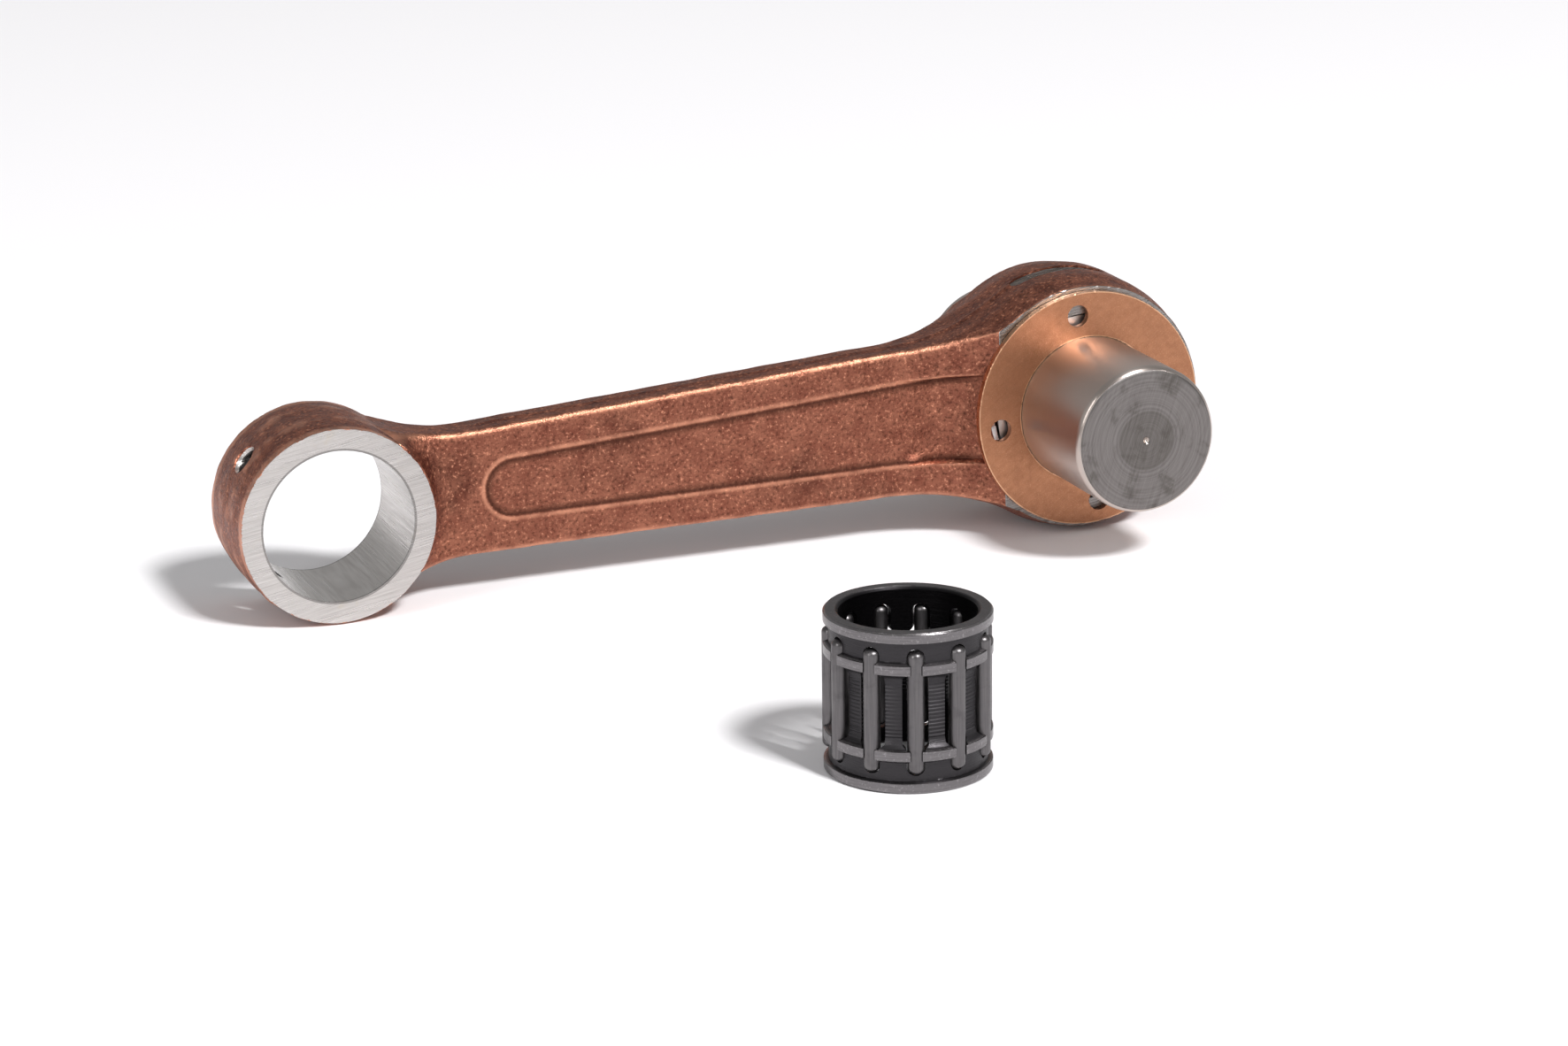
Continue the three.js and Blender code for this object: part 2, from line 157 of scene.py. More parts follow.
def lathe(profile, segments, closed):
    """A surface of revolution about Y: the point (radius, y) at turn a is (radius cos a, y, radius sin a).

    A closed profile makes a ring. An open one starts and ends on the axis, where each end is one vertex.
    """
    profile = np.asarray(profile, float)
    turns = np.linspace(0, 2 * np.pi, segments, endpoint=False)
    body = profile if closed else profile[1:-1]
    rows = len(body)
    radius, along = body[:, 0][:, None], body[:, 1][:, None]
    grid = np.stack([radius * np.cos(turns), along + 0 * turns, radius * np.sin(turns)], axis=-1)
    points = grid.reshape(-1, 3)
    count = rows if closed else rows - 1
    row = np.arange(count)[:, None]
    column = np.arange(segments)[None, :]
    following = (column + 1) % segments
    below = (row + 1) % rows
    quads = np.stack(
        [
            row * segments + column,
            row * segments + following,
            below * segments + following,
            below * segments + column,
        ],
        axis=-1,
    ).reshape(-1, 4)
    faces = quads.tolist()
    if not closed:
        first, last = len(points), len(points) + 1
        ends = [[0, profile[0, 1], 0], [0, profile[-1, 1], 0]]
        points = np.concatenate([points, ends])
        start, stop = column[0], following[0]
        final = (rows - 1) * segments
        faces += np.stack([0 * start + first, stop, start], axis=-1).tolist()
        faces += np.stack([0 * start + last, final + start, final + stop], axis=-1).tolist()
    return points, faces


def slope_of(field, points, step):
    """The field's unit slope at each point, from its change over a small step both ways along each axis."""
    offsets = np.eye(3) * step
    change = [field(*(points + o).T) - field(*(points - o).T) for o in offsets]
    slope = np.stack(change, axis=-1)
    return slope / (np.linalg.norm(slope, axis=-1, keepdims=True) + 1e-12)


def skin(field, xs, ys, zs):
    """The surface where a field is nought, as points and quads, with its edges kept crisp.

    The field is below nought inside. Each grid edge that the surface crosses gives a point and a slope. Each
    grid cell that it passes through gets one vertex, at the place that lies closest to all of its planes.
    Four cells meet at a crossed edge, and their vertices make one quad, turned to face out.
    """
    axes = [np.asarray(a, float) for a in (xs, ys, zs)]
    value = field(*np.meshgrid(*axes, indexing="ij"))
    inside = value < 0
    cells_shape = np.array(value.shape) - 1
    cell_of, quads, sums = [], [], []
    for axis in range(3):
        near = [slice(None)] * 3
        far = [slice(None)] * 3
        near[axis], far[axis] = slice(None, -1), slice(1, None)
        crossed = np.argwhere(inside[tuple(near)] != inside[tuple(far)])
        others = [a for a in range(3) if a != axis]
        clear = (crossed[:, others] > 0).all(1) & (crossed[:, others] < cells_shape[others]).all(1)
        crossed = crossed[clear]
        beyond = crossed.copy()
        beyond[:, axis] += 1
        a_value, b_value = value[tuple(crossed.T)], value[tuple(beyond.T)]
        a = np.stack([axes[k][crossed[:, k]] for k in range(3)], axis=-1)
        b = np.stack([axes[k][beyond[:, k]] for k in range(3)], axis=-1)
        for _ in range(3):
            share = (a_value / (a_value - b_value))[:, None].clip(0.02, 0.98)
            p = a + (b - a) * share
            p_value = field(*p.T)
            same = ((p_value < 0) == (a_value < 0))[:, None]
            a, b = np.where(same, p, a), np.where(same, b, p)
            a_value = np.where(same[:, 0], p_value, a_value)
            b_value = np.where(same[:, 0], b_value, p_value)
        share = (a_value / (a_value - b_value))[:, None].clip(0, 1)
        p = a + (b - a) * share
        n = slope_of(field, p, 0.01)
        reach = (n * p).sum(1)
        terms = np.column_stack(
            [
                n[:, 0] * n[:, 0], n[:, 0] * n[:, 1], n[:, 0] * n[:, 2],
                n[:, 1] * n[:, 1], n[:, 1] * n[:, 2], n[:, 2] * n[:, 2],
                n * reach[:, None], p, np.ones(len(p)),
            ]
        )
        corners = []
        for first, second in ((0, 0), (1, 0), (1, 1), (0, 1)):
            cell = crossed.copy()
            cell[:, others[0]] -= 1 - first
            cell[:, others[1]] -= 1 - second
            corners.append(np.ravel_multi_index(cell.T, cells_shape))
            cell_of.append(corners[-1])
            sums.append(terms)
        quad = np.column_stack(corners)
        leaving = inside[tuple(crossed.T)] ^ (axis == 1)
        quads.append(np.where(leaving[:, None], quad, quad[:, ::-1]))
    cell_of, sums, quads = np.concatenate(cell_of), np.concatenate(sums), np.concatenate(quads)
    used, place = np.unique(cell_of, return_inverse=True)
    total = np.stack(
        [np.bincount(place, weights=column, minlength=len(used)) for column in sums.T], axis=-1
    )
    mean = total[:, 9:12] / total[:, 12:13]
    planes = np.stack([total[:, [0, 1, 2]], total[:, [1, 3, 4]], total[:, [2, 4, 5]]], axis=1)
    hold = 0.08
    planes += hold * np.eye(3)
    points = np.linalg.solve(planes, (total[:, 6:9] + hold * mean)[..., None])[..., 0]
    cell = np.stack(np.unravel_index(used, cells_shape), axis=-1)
    low = np.stack([axes[k][cell[:, k]] for k in range(3)], axis=-1)
    high = np.stack([axes[k][cell[:, k] + 1] for k in range(3)], axis=-1)
    return np.clip(points, low, high), np.searchsorted(used, quads)


# ---- Shapes of the rod --------------------------------------------------------------------------------


def rounded_corner(a, b, radius):
    """The space where two fields are both below nought, with the edge between them rounded to a radius.

    Outside the corner it is the larger of the two. Within a radius of it, it is the distance to the round.
    """
    round_part = np.hypot(np.maximum(a + radius, 0), np.maximum(b + radius, 0)) - radius
    return np.minimum(np.maximum(a, b), -radius) + (round_part + radius)


def ease(value, start, end):
    """Nought before start, one after end, and a smooth run between: t squared times (3 - 2t)."""
    t = np.clip((value - start) / (end - start), 0, 1)
    return t * t * (3 - 2 * t)


def hammered(x, y, z, size, seed):
    """A gentle unevenness between -1 and 1: the mean of five waves in fixed random directions."""
    draw = np.random.default_rng(seed)
    ways = draw.normal(size=(5, 3))
    ways *= 2 * np.pi / size / np.linalg.norm(ways, axis=1, keepdims=True)
    starts = draw.uniform(0, 2 * np.pi, 5)
    return sum(np.sin(x * w[0] + y * w[1] + z * w[2] + s) for w, s in zip(ways, starts)) / 5


class RodShape:
    """The forging as a field in millimetres, about the small end's bore with X along the rod."""

    def __init__(self, sizes):
        """Works out the neck circles, which touch an eye's outside and the shank's edge."""
        self.small_outer = sizes.small_outer * MM
        self.big_outer = sizes.big_outer * MM
        self.start = sizes.shank_height_small * MM / 2
        self.taper = (sizes.shank_height_big - sizes.shank_height_small) * MM / 2 / CENTRES
        self.neck = sizes.neck_radius * MM
        self.thin = sizes.shank_thickness * MM / 2
        self.small_half = sizes.small_width * MM / 2
        self.big_half = sizes.big_width * MM / 2
        self.small_bore = sizes.small_bore * MM
        self.big_bore = sizes.big_bore * MM
        self.recess = sizes.recess_depth * MM
        self.flange = sizes.flange_height * MM
        self.flare = sizes.flare_radius * MM
        self.flat = sizes.face_flat * MM
        self.small_neck = self.touching_circle(0, self.small_outer, 1)
        self.big_neck = self.touching_circle(CENTRES, self.big_outer, -1)

    def touching_circle(self, eye, radius, way):
        """The middle of the circle that touches an eye and the shank's edge, by repeated substitution."""
        reach = radius + self.neck
        rise = self.neck * math.hypot(1, self.taper)
        x = eye
        for _ in range(30):
            z = self.start + self.taper * x + rise
            x = eye + way * math.sqrt(reach * reach - z * z)
        return x, z, eye + (x - eye) * radius / reach

    def half_height(self, x):
        """Half the shank's height: a straight taper that runs into the neck circle at each end."""
        lean = math.atan(self.taper)
        height = self.start + self.taper * x
        for (cx, cz, _), before in ((self.small_neck, True), (self.big_neck, False)):
            meets = cx + self.neck * math.sin(lean)
            arc = cz - np.sqrt(np.maximum(self.neck**2 - (x - cx) ** 2, 1e-6))
            use = x < meets if before else x > meets
            height = np.where(use, arc, height)
        return height

    def outline(self, x, z):
        """Distance to the side view's outline: the nearer of the big eye and the tapered, necked shank."""
        inner = np.clip(x, self.small_neck[2], self.big_neck[2])
        step = 0.02
        tilt = (self.half_height(inner + step) - self.half_height(inner - step)) / (2 * step)
        shank = (np.abs(z) - self.half_height(inner)) / np.sqrt(1 + tilt**2)
        ends = np.maximum(self.small_neck[2] - x, x - self.big_neck[2])
        shank = np.maximum(shank, ends)
        return np.minimum(shank, np.hypot(x - CENTRES, z) - self.big_outer)

    def recess_depth(self, x, z):
        """How far the side is cut in: a flat floor with sloping walls, rounded at the small end."""
        begin = self.small_outer + 8.0
        half = self.start + self.taper * x - self.flange
        nose = self.start + self.taper * begin - self.flange
        wall = np.where(
            x < begin + nose,
            nose - np.hypot(x - begin - nose, z),
            half - np.abs(z),
        )
        return self.recess * ease(wall, -0.3, 0.3)

    def thickness(self, x, y, z):
        """Half the forging's thickness: slab, flare to the big end and skirt round the small eye.

        The skirt is nowhere thinner than the slab, so the recess is cut only where the side flares out.
        """
        rise = self.big_half - self.thin
        turn = math.acos(1 - rise / self.flare)
        begin = CENTRES - self.flat - self.flare * math.sin(turn)
        run = np.clip(x - begin, 0, self.flare * math.sin(turn))
        flared = self.thin + self.flare - np.sqrt(self.flare**2 - run**2)
        flared -= self.recess_depth(x, z) * (
            1 - ease(x, CENTRES - self.flat - 2.5, CENTRES - self.flat - 0.2)
        )
        skirt_radius = 4.0
        away = np.clip(self.small_outer + skirt_radius - np.hypot(x, z), 0, skirt_radius)
        skirt = self.thin + skirt_radius - np.sqrt(skirt_radius**2 - away**2)
        blob = 0.5 * np.exp(-((x - 81.5) ** 2 / 1.6 + (z + 5.3) ** 2 / 0.3)) * (y < 0)
        return np.maximum(flared, skirt) + blob

    def parts(self, x, y, z):
        """The two fields whose corner is the forging's long edge: its side view and its thickness."""
        ay = np.abs(y)
        big = np.hypot(x - CENTRES, z)
        crown = 0.82 * ease(ay, 3.2, self.big_half + 0.4)
        seam = 0.16 * np.exp(-((y / 0.45) ** 2)) * ease(x, 18, 24) * (1 - ease(x, 99, 103))
        uneven = 0.05 * hammered(x, y, z, 9.0, 3) + 0.03 * hammered(x, y, z, 3.1, 5)
        side = self.outline(x, z) + crown - seam + uneven
        face_step = 0.05
        thick = self.thickness(x, y, z)
        tilt = (self.thickness(x + face_step, y, z) - self.thickness(x - face_step, y, z)) / (2 * face_step)
        lean = (self.thickness(x, y, z + face_step) - self.thickness(x, y, z - face_step)) / (2 * face_step)
        machined = (thick >= self.big_half - 1e-6) | (big < self.big_outer - 1.4) & (x > CENTRES - self.flat)
        face = (ay - thick) / np.sqrt(1 + tilt**2 + lean**2) + np.where(machined, 0, uneven)
        radius = 0.75 - 0.55 * ease(x, 84, 93)
        return side, face, radius

    def forging(self, x, y, z):
        """The slab with its flare, and the small eye as a barrel that is a little fuller in its middle."""
        side, face, radius = self.parts(x, y, z)
        slab = rounded_corner(side, face, radius)
        small = np.hypot(x, z)
        ay = np.abs(y)
        barrel = self.small_outer - 0.28 * ease(ay, 2.0, self.small_half + 0.6)
        uneven = 0.06 * hammered(x, y, z, 6.0, 11) + 0.04 * hammered(x, y, z, 2.3, 12)
        lump = 0.25 * np.exp(-((x + 9.6) ** 2 + (z + 8.6) ** 2) / 2.5 - ((y + 6.2) / 1.2) ** 2)
        eye = rounded_corner(small - barrel + uneven - lump, ay - self.small_half, 0.12)
        return np.minimum(slab, eye)

    def small_hole(self, x, y, z, turn, radius):
        """A hole drilled towards the small bore: a round about the line at a turn, opened outside."""
        along = x * math.cos(turn) + z * math.sin(turn)
        across = -x * math.sin(turn) + z * math.cos(turn)
        opened = 0.4 * ease(along, self.small_outer - 0.9, self.small_outer + 0.1)
        return np.maximum(np.hypot(across, y) - radius - opened, -along)

    def __call__(self, x, y, z):
        """The forging less its bores, oil holes and oil slots."""
        small, big = np.hypot(x, z), np.hypot(x - CENTRES, z)
        body = self.forging(x, y, z)
        body = np.maximum(body, self.small_bore - small)
        body = np.maximum(body, self.big_bore - big)
        for turn in (HOLE_TURN, -HOLE_TURN):
            body = np.maximum(body, -self.small_hole(x, y, z, turn, 1.7))
        slot = np.hypot(np.maximum(np.abs(x - CENTRES) - 5.7, 0), y) - 1.3
        return np.maximum(body, -slot)

    def edge_wear_and_highlight(self, x, y, z):
        """One on the long rounded edges, nought on the flats: how deep a point lies in the corner's round. The
        material brightens the copper by it, as rubbed plate and as a painted highlight.
        """
        side, face, radius = self.parts(x, y, z)
        depth = np.minimum(side, face) + radius
        return np.clip(depth / radius * 1.6, 0, 1)


def graded(low, high, coarse_low, coarse_high, fine, coarse):
    """Grid places from low to high, fine outside a middle stretch and coarse inside it."""
    first = np.arange(low, coarse_low, fine)
    second = np.arange(first[-1] + fine, coarse_high, coarse)
    third = np.arange(second[-1] + coarse, high + fine, fine)
    return np.concatenate([first, second, third])


# ---- Shapes of the bearing and washers ----------------------------------------------------------------


class CageShape:
    """The needle cage as a field in millimetres about its own middle, standing along Z."""

    def __init__(self, sizes, first_needle, count):
        """Keeps the sizes, the first needle's turn and the number of needles."""
        self.half = sizes.cage_height * MM / 2
        self.inner = sizes.cage_bore * MM
        self.rim = sizes.cage_rim * MM
        self.needle = sizes.needle_length * MM / 2
        self.circle = sizes.needle_circle * MM
        self.first = first_needle
        self.count = count

    def outside(self, from_end):
        """The radius at a height from the nearer end: rim, neck, raised lug and web, each with its slope."""
        places = [0, 0.25, 1.25, 1.4, 3.6, 3.95, 5.05, 5.3, 5.7, 6.3, 9.7]
        drops = [0.25, 0, 0, 0.6, 0.6, 0, 0, 0.5, 0.85, 1.05, 1.05]
        radii = [self.rim - drop for drop in drops]
        return np.interp(from_end, places, radii)

    def __call__(self, x, y, z):
        """The turned ring less its windows.

        A window is a round a little wider than its needle, a slot of that width inside the needle's circle,
        and a wider box between the two rows of lugs. Its ends are round, as the needle's are.
        """
        radius = np.hypot(x, y)
        from_end = self.half - np.abs(z)
        wall = np.maximum(radius - self.outside(np.maximum(from_end, 0)), -from_end)
        mouth = np.clip(0.35 - from_end, 0, 0.35)
        ring = np.maximum(wall, self.inner + mouth - radius)
        pitch = 2 * np.pi / self.count
        turn = np.mod(np.arctan2(y, x) - self.first + pitch / 2, pitch) - pitch / 2
        across, outward = radius * np.sin(turn), radius * np.cos(turn)
        off_end = np.maximum(np.abs(z) - (self.needle - 0.85), 0)
        around = np.hypot(np.hypot(across, np.maximum(outward - self.circle, 0)), off_end) - 1.06
        wide = 1.06 + 0.45 * ease(from_end, 5.1, 5.7)
        middle = np.maximum(np.abs(across) - wide, 5.1 - from_end)
        through = np.maximum(np.minimum(around, middle), -outward)
        return np.maximum(ring, -through)


class WasherShape:
    """A thrust washer as a field in millimetres, with X along the rod and Y through its thickness."""

    def __init__(self, sizes, first_hole):
        """Keeps the sizes and the first hole's turn above X."""
        self.inner = sizes.washer_bore * MM
        self.outer = sizes.washer_outer * MM
        self.half = sizes.washer_thickness * MM / 2
        self.hole = sizes.washer_hole * MM
        self.first = first_hole

    def __call__(self, x, y, z):
        """A flat ring less four round holes midway across it, each edge broken by 0.08 mm."""
        radius = np.hypot(x, z)
        edge = np.clip(np.abs(y) - self.half + 0.08, 0, 0.08)
        ring = np.maximum(radius - self.outer, self.inner - radius) + edge
        middle = (self.inner + self.outer) / 2
        turn = np.mod(np.arctan2(z, x) - self.first + np.pi / 4, np.pi / 2) - np.pi / 4
        away = np.hypot(radius * np.cos(turn) - middle, radius * np.sin(turn))
        ring = np.maximum(ring, self.hole - away + edge)
        return np.maximum(ring, np.abs(y) - self.half)


# ---- Shader helpers -----------------------------------------------------------------------------------


def add(tree, kind, inputs=None, **settings):
    """A node with its settings, whose inputs are set to values or linked from other sockets."""
    made = tree.nodes.new(kind)
    for name, value in settings.items():
        setattr(made, name, value)
    for name, value in (inputs or {}).items():
        socket = made.inputs[name]
        if isinstance(value, bpy.types.NodeSocket):
            tree.links.new(value, socket)
        else:
            socket.default_value = value
    return made


def sum_of(tree, operation, a, b=0.0):
    """One step of arithmetic on two values."""
    return add(tree, "ShaderNodeMath", {0: a, 1: b}, operation=operation).outputs[0]


def spread(tree, value, low, high, to_low=0.0, to_high=1.0, smooth=False):
    """A value taken from one range to another and held at its ends."""
    inputs = {0: value, 1: low, 2: high, 3: to_low, 4: to_high}
    kind = "SMOOTHSTEP" if smooth else "LINEAR"
    return add(tree, "ShaderNodeMapRange", inputs, clamp=True, interpolation_type=kind).outputs[0]


def tint(tree, factor, a, b, blend="MIX"):
    """Two colours mixed by a factor."""
    inputs = {0: factor, 6: a, 7: b}
    return add(tree, "ShaderNodeMix", inputs, data_type="RGBA", blend_type=blend).outputs[2]


def rgb(colour):
    """A colour property as four numbers."""
    return (*colour, 1.0)


def group(name, inputs, outputs):
    """An empty shader group with named sockets, and its input and output nodes."""
    tree = bpy.data.node_groups.new(name, "ShaderNodeTree")
    for label, kind, value in inputs:
        socket = tree.interface.new_socket(label, in_out="INPUT", socket_type=kind)
        if value is not None:
            socket.default_value = value
    for label, kind in outputs:
        tree.interface.new_socket(label, in_out="OUTPUT", socket_type=kind)
    return tree, tree.nodes.new("NodeGroupInput"), tree.nodes.new("NodeGroupOutput")


FLOAT, VECTOR = "NodeSocketFloat", "NodeSocketVector"


def grain_group():
    """Fine grain: two sizes of noise added up, for height, with masks for high specks and low pits."""
    tree, given, out = group(
        "Fine_Grain",
        [("Place", VECTOR, None), ("Size", FLOAT, 0.3)],
        [("Height", FLOAT), ("Specks", FLOAT), ("Pits", FLOAT), ("Tone", FLOAT)],
    )
    scale = sum_of(tree, "DIVIDE", 1.0, given.outputs["Size"])
    coarse = sum_of(tree, "DIVIDE", scale, 5.0)
    fine = add(
        tree, "ShaderNodeTexNoise", {
            "Vector": given.outputs["Place"], "Scale": scale, "Detail": 3.0, "Roughness": 0.65
        }
    )
    wide = add(
        tree, "ShaderNodeTexNoise", {"Vector": given.outputs["Place"], "Scale": coarse, "Detail": 3.0}
    )
    height = sum_of(tree, "ADD", fine.outputs[0], sum_of(tree, "MULTIPLY", wide.outputs[0], 1.4))
    tree.links.new(height, out.inputs["Height"])
    tree.links.new(spread(tree, fine.outputs[0], 0.56, 0.7, smooth=True), out.inputs["Specks"])
    tree.links.new(spread(tree, fine.outputs[0], 0.34, 0.48, 1.0, 0.0), out.inputs["Pits"])
    tree.links.new(spread(tree, wide.outputs[0], 0.3, 0.7), out.inputs["Tone"])
    return tree


def cloud_group():
    """Cloudy patches: a wide, broken noise as a mask from nought to one."""
    tree, given, out = group(
        "Cloudy_Patches",
        [("Place", VECTOR, None), ("Size", FLOAT, 10.0), ("Cover", FLOAT, 0.5)],
        [("Mask", FLOAT)],
    )
    scale = sum_of(tree, "DIVIDE", 1.0, given.outputs["Size"])
    cloud = add(
        tree,
        "ShaderNodeTexNoise",
        {
            "Vector": given.outputs["Place"],
            "Scale": scale,
            "Detail": 4.0,
            "Roughness": 0.6,
            "Distortion": 0.4,
        },
    )
    low = sum_of(tree, "SUBTRACT", 0.75, sum_of(tree, "MULTIPLY", given.outputs["Cover"], 0.5))
    high = sum_of(tree, "ADD", low, 0.2)
    tree.links.new(spread(tree, cloud.outputs[0], low, high, smooth=True), out.inputs["Mask"])
    return tree


def lines_group():
    """Grinding lines: noise that is stretched along X by the lines' length and squeezed across it."""
    tree, given, out = group(
        "Ground_Lines",
        [("Place", VECTOR, None), ("Turn", FLOAT, 0.0), ("Length", FLOAT, 12.0), ("Width", FLOAT, 0.12)],
        [("Lines", FLOAT), ("Bands", FLOAT)],
    )
    turn = add(tree, "ShaderNodeCombineXYZ", {1: given.outputs["Turn"]})
    along = sum_of(tree, "DIVIDE", 1.0, given.outputs["Length"])
    across = sum_of(tree, "DIVIDE", 1.0, given.outputs["Width"])
    size = add(tree, "ShaderNodeCombineXYZ", {0: along, 1: along, 2: across})
    turned = add(
        tree,
        "ShaderNodeVectorRotate",
        {"Vector": given.outputs["Place"], "Rotation": turn.outputs[0]},
        rotation_type="EULER_XYZ",
    )
    place = add(
        tree, "ShaderNodeVectorMath", {0: turned.outputs[0], 1: size.outputs[0]}, operation="MULTIPLY"
    )
    fine = add(tree, "ShaderNodeTexNoise", {"Vector": place.outputs[0], "Scale": 1.0, "Detail": 2.0})
    broad = add(tree, "ShaderNodeTexNoise", {"Vector": place.outputs[0], "Scale": 0.2, "Detail": 2.0})
    tree.links.new(spread(tree, fine.outputs[0], 0.3, 0.7), out.inputs["Lines"])
    tree.links.new(spread(tree, broad.outputs[0], 0.35, 0.65), out.inputs["Bands"])
    return tree


def rings_group():
    """Turning marks: noise read along the radius from the Y axis, the radius and the distance along Y."""
    tree, given, out = group(
        "Turning_Rings",
        [("Place", VECTOR, None), ("Width", FLOAT, 0.25)],
        [("Rings", FLOAT), ("Radius", FLOAT), ("Off_Middle", FLOAT)],
    )
    parts = add(tree, "ShaderNodeSeparateXYZ", {0: given.outputs["Place"]})
    flat = add(tree, "ShaderNodeCombineXYZ", {0: parts.outputs[0], 2: parts.outputs[2]})
    radius = add(tree, "ShaderNodeVectorMath", {0: flat.outputs[0]}, operation="LENGTH").outputs["Value"]
    width = sum_of(tree, "DIVIDE", radius, given.outputs["Width"])
    rings = add(tree, "ShaderNodeTexNoise", {"W": width, "Scale": 1.0, "Detail": 2.0}, noise_dimensions="1D")
    tree.links.new(spread(tree, rings.outputs[0], 0.3, 0.7), out.inputs["Rings"])
    tree.links.new(radius, out.inputs["Radius"])
    tree.links.new(sum_of(tree, "ABSOLUTE", parts.outputs[1]), out.inputs["Off_Middle"])
    return tree


def shared(name, build):
    """A shader group by name, built the first time that it is asked for."""
    return bpy.data.node_groups.get(name) or build()


def place_group(tree, name, inputs):
    """A group node in a material, with its inputs set or linked."""
    builders = {
        "Fine_Grain": grain_group,
        "Cloudy_Patches": cloud_group,
        "Ground_Lines": lines_group,
        "Turning_Rings": rings_group,
    }
    node = tree.nodes.new("ShaderNodeGroup")
    node.node_tree = shared(name, builders[name])
    for label, value in inputs.items():
        if isinstance(value, bpy.types.NodeSocket):
            tree.links.new(value, node.inputs[label])
        else:
            node.inputs[label].default_value = value
    return node


def new_material(name):
    """A material with its Principled BSDF, and the node that gives Object coordinates."""
    material = bpy.data.materials.new(name)
    material.use_nodes = True
    tree = material.node_tree
    shader = tree.nodes["Principled BSDF"]
    coordinates = add(tree, "ShaderNodeTexCoord").outputs["Object"]
    return material, tree, shader, coordinates


def millimetres_from(tree, coordinates, centre, rise=0.0):
    """Object coordinates as millimetres from a centre, turned back by a rise about Y."""
    inputs = {0: coordinates, 1: tuple(centre), 2: (0.0, -rise, 0.0), 3: (1 / MM, 1 / MM, 1 / MM)}
    return add(tree, "ShaderNodeMapping", inputs, vector_type="TEXTURE").outputs[0]


def bump(tree, shader, height, strength, depth):
    """A Bump node that feeds the shader's Normal. Depth is the height's whole size in metres."""
    made = add(tree, "ShaderNodeBump", {"Height": height, "Strength": strength, "Distance": depth})
    tree.links.new(made.outputs[0], shader.inputs["Normal"])


# ---- Materials ----------------------------------------------------------------------------------------

# Dark copper of the grain's pits, also used for the painted shade at the foot of each recess wall.
COPPER_PIT_AND_SHADE = (0.06, 0.022, 0.015, 1)
# Painted shade of the small bore's edge chamfer, which the mesh doesn't have.
BORE_EDGE_SHADE = (0.08, 0.075, 0.07, 1)
# Ground steel of the thrust faces, darkened as painted shade, with its darker grinding lines.
THRUST_FACE_SHADED = (0.3, 0.28, 0.27, 1)
THRUST_FACE_SHADED_LINES = (0.09, 0.08, 0.075, 1)
# Painted shade deep in the oil holes.
OIL_HOLE_SHADE = (0.03, 0.026, 0.024, 1)
GROUND_GLINT = (0.9, 0.88, 0.86, 1)
CAGE_GLINT = (0.5, 0.48, 0.48, 1)
# Painted shade in the cage's bore.
CAGE_INSIDE_SHADE = (0.012, 0.011, 0.012, 1)


def recess_edges(tree, at_small, sizes):
    """Masks for a painted highlight on the lip of the recess in each side and for painted shade at the foot of its
    wall.

    The distance in from the recess's outline is n + t max(u, 0) - |(min(u, 0), z)|. Here u is the distance
    along the rod from the middle of the rounded end, n is that end's radius and t is the taper. The lip is
    where it is just below nought and the foot is where it is just above. Both fade out at the thrust face.
    Along the shank's slab these masks are all that shows the recess, because the mesh isn't cut there, so there
    the recess is only painted shade and painted highlight.
    """
    taper = (sizes.shank_height_big - sizes.shank_height_small) * MM / 2 / CENTRES
    begin = sizes.small_outer * MM + 8.0
    nose = sizes.shank_height_small * MM / 2 + taper * begin - sizes.flange_height * MM
    parts = add(tree, "ShaderNodeSeparateXYZ", {0: at_small})
    along = sum_of(tree, "SUBTRACT", parts.outputs[0], begin + nose)
    round_end = add(
        tree, "ShaderNodeCombineXYZ", {0: sum_of(tree, "MINIMUM", along, 0.0), 1: parts.outputs[2]}
    )
    away = add(tree, "ShaderNodeVectorMath", {0: round_end.outputs[0]}, operation="LENGTH").outputs["Value"]
    wide = sum_of(tree, "MULTIPLY", sum_of(tree, "MAXIMUM", along, 0.0), taper)
    within = sum_of(tree, "SUBTRACT", sum_of(tree, "ADD", wide, nose), away)
    side = sum_of(tree, "GREATER_THAN", sum_of(tree, "ABSOLUTE", parts.outputs[1]), 1.2)
    before_face = spread(tree, parts.outputs[0], 88.0, 92.0, 1.0, 0.0)
    shown = sum_of(tree, "MULTIPLY", side, before_face)
    lip = sum_of(
        tree, "MULTIPLY", spread(tree, within, -0.75, -0.4), spread(tree, within, -0.2, 0.0, 1.0, 0.0)
    )
    foot = sum_of(
        tree, "MULTIPLY", spread(tree, within, -0.1, 0.15), spread(tree, within, 0.3, 1.1, 1.0, 0.0)
    )
    return sum_of(tree, "MULTIPLY", lip, shown), sum_of(tree, "MULTIPLY", foot, shown)


def oil_holes(tree, at_small):
    """A mask for the walls and worn rims of the two oil holes: one within 2 mm of either hole's line."""
    parts = add(tree, "ShaderNodeSeparateXYZ", {0: at_small})
    height = sum_of(tree, "ABSOLUTE", parts.outputs[2])
    first = sum_of(tree, "MULTIPLY", parts.outputs[0], -math.sin(HOLE_TURN))
    across = sum_of(tree, "ADD", first, sum_of(tree, "MULTIPLY", height, math.cos(HOLE_TURN)))
    flat = add(tree, "ShaderNodeCombineXYZ", {0: across, 1: parts.outputs[1]})
    away = add(tree, "ShaderNodeVectorMath", {0: flat.outputs[0]}, operation="LENGTH").outputs["Value"]
    near = sum_of(tree, "LESS_THAN", away, 1.98)
    return sum_of(tree, "MULTIPLY", near, sum_of(tree, "LESS_THAN", parts.outputs[0], 0.0))


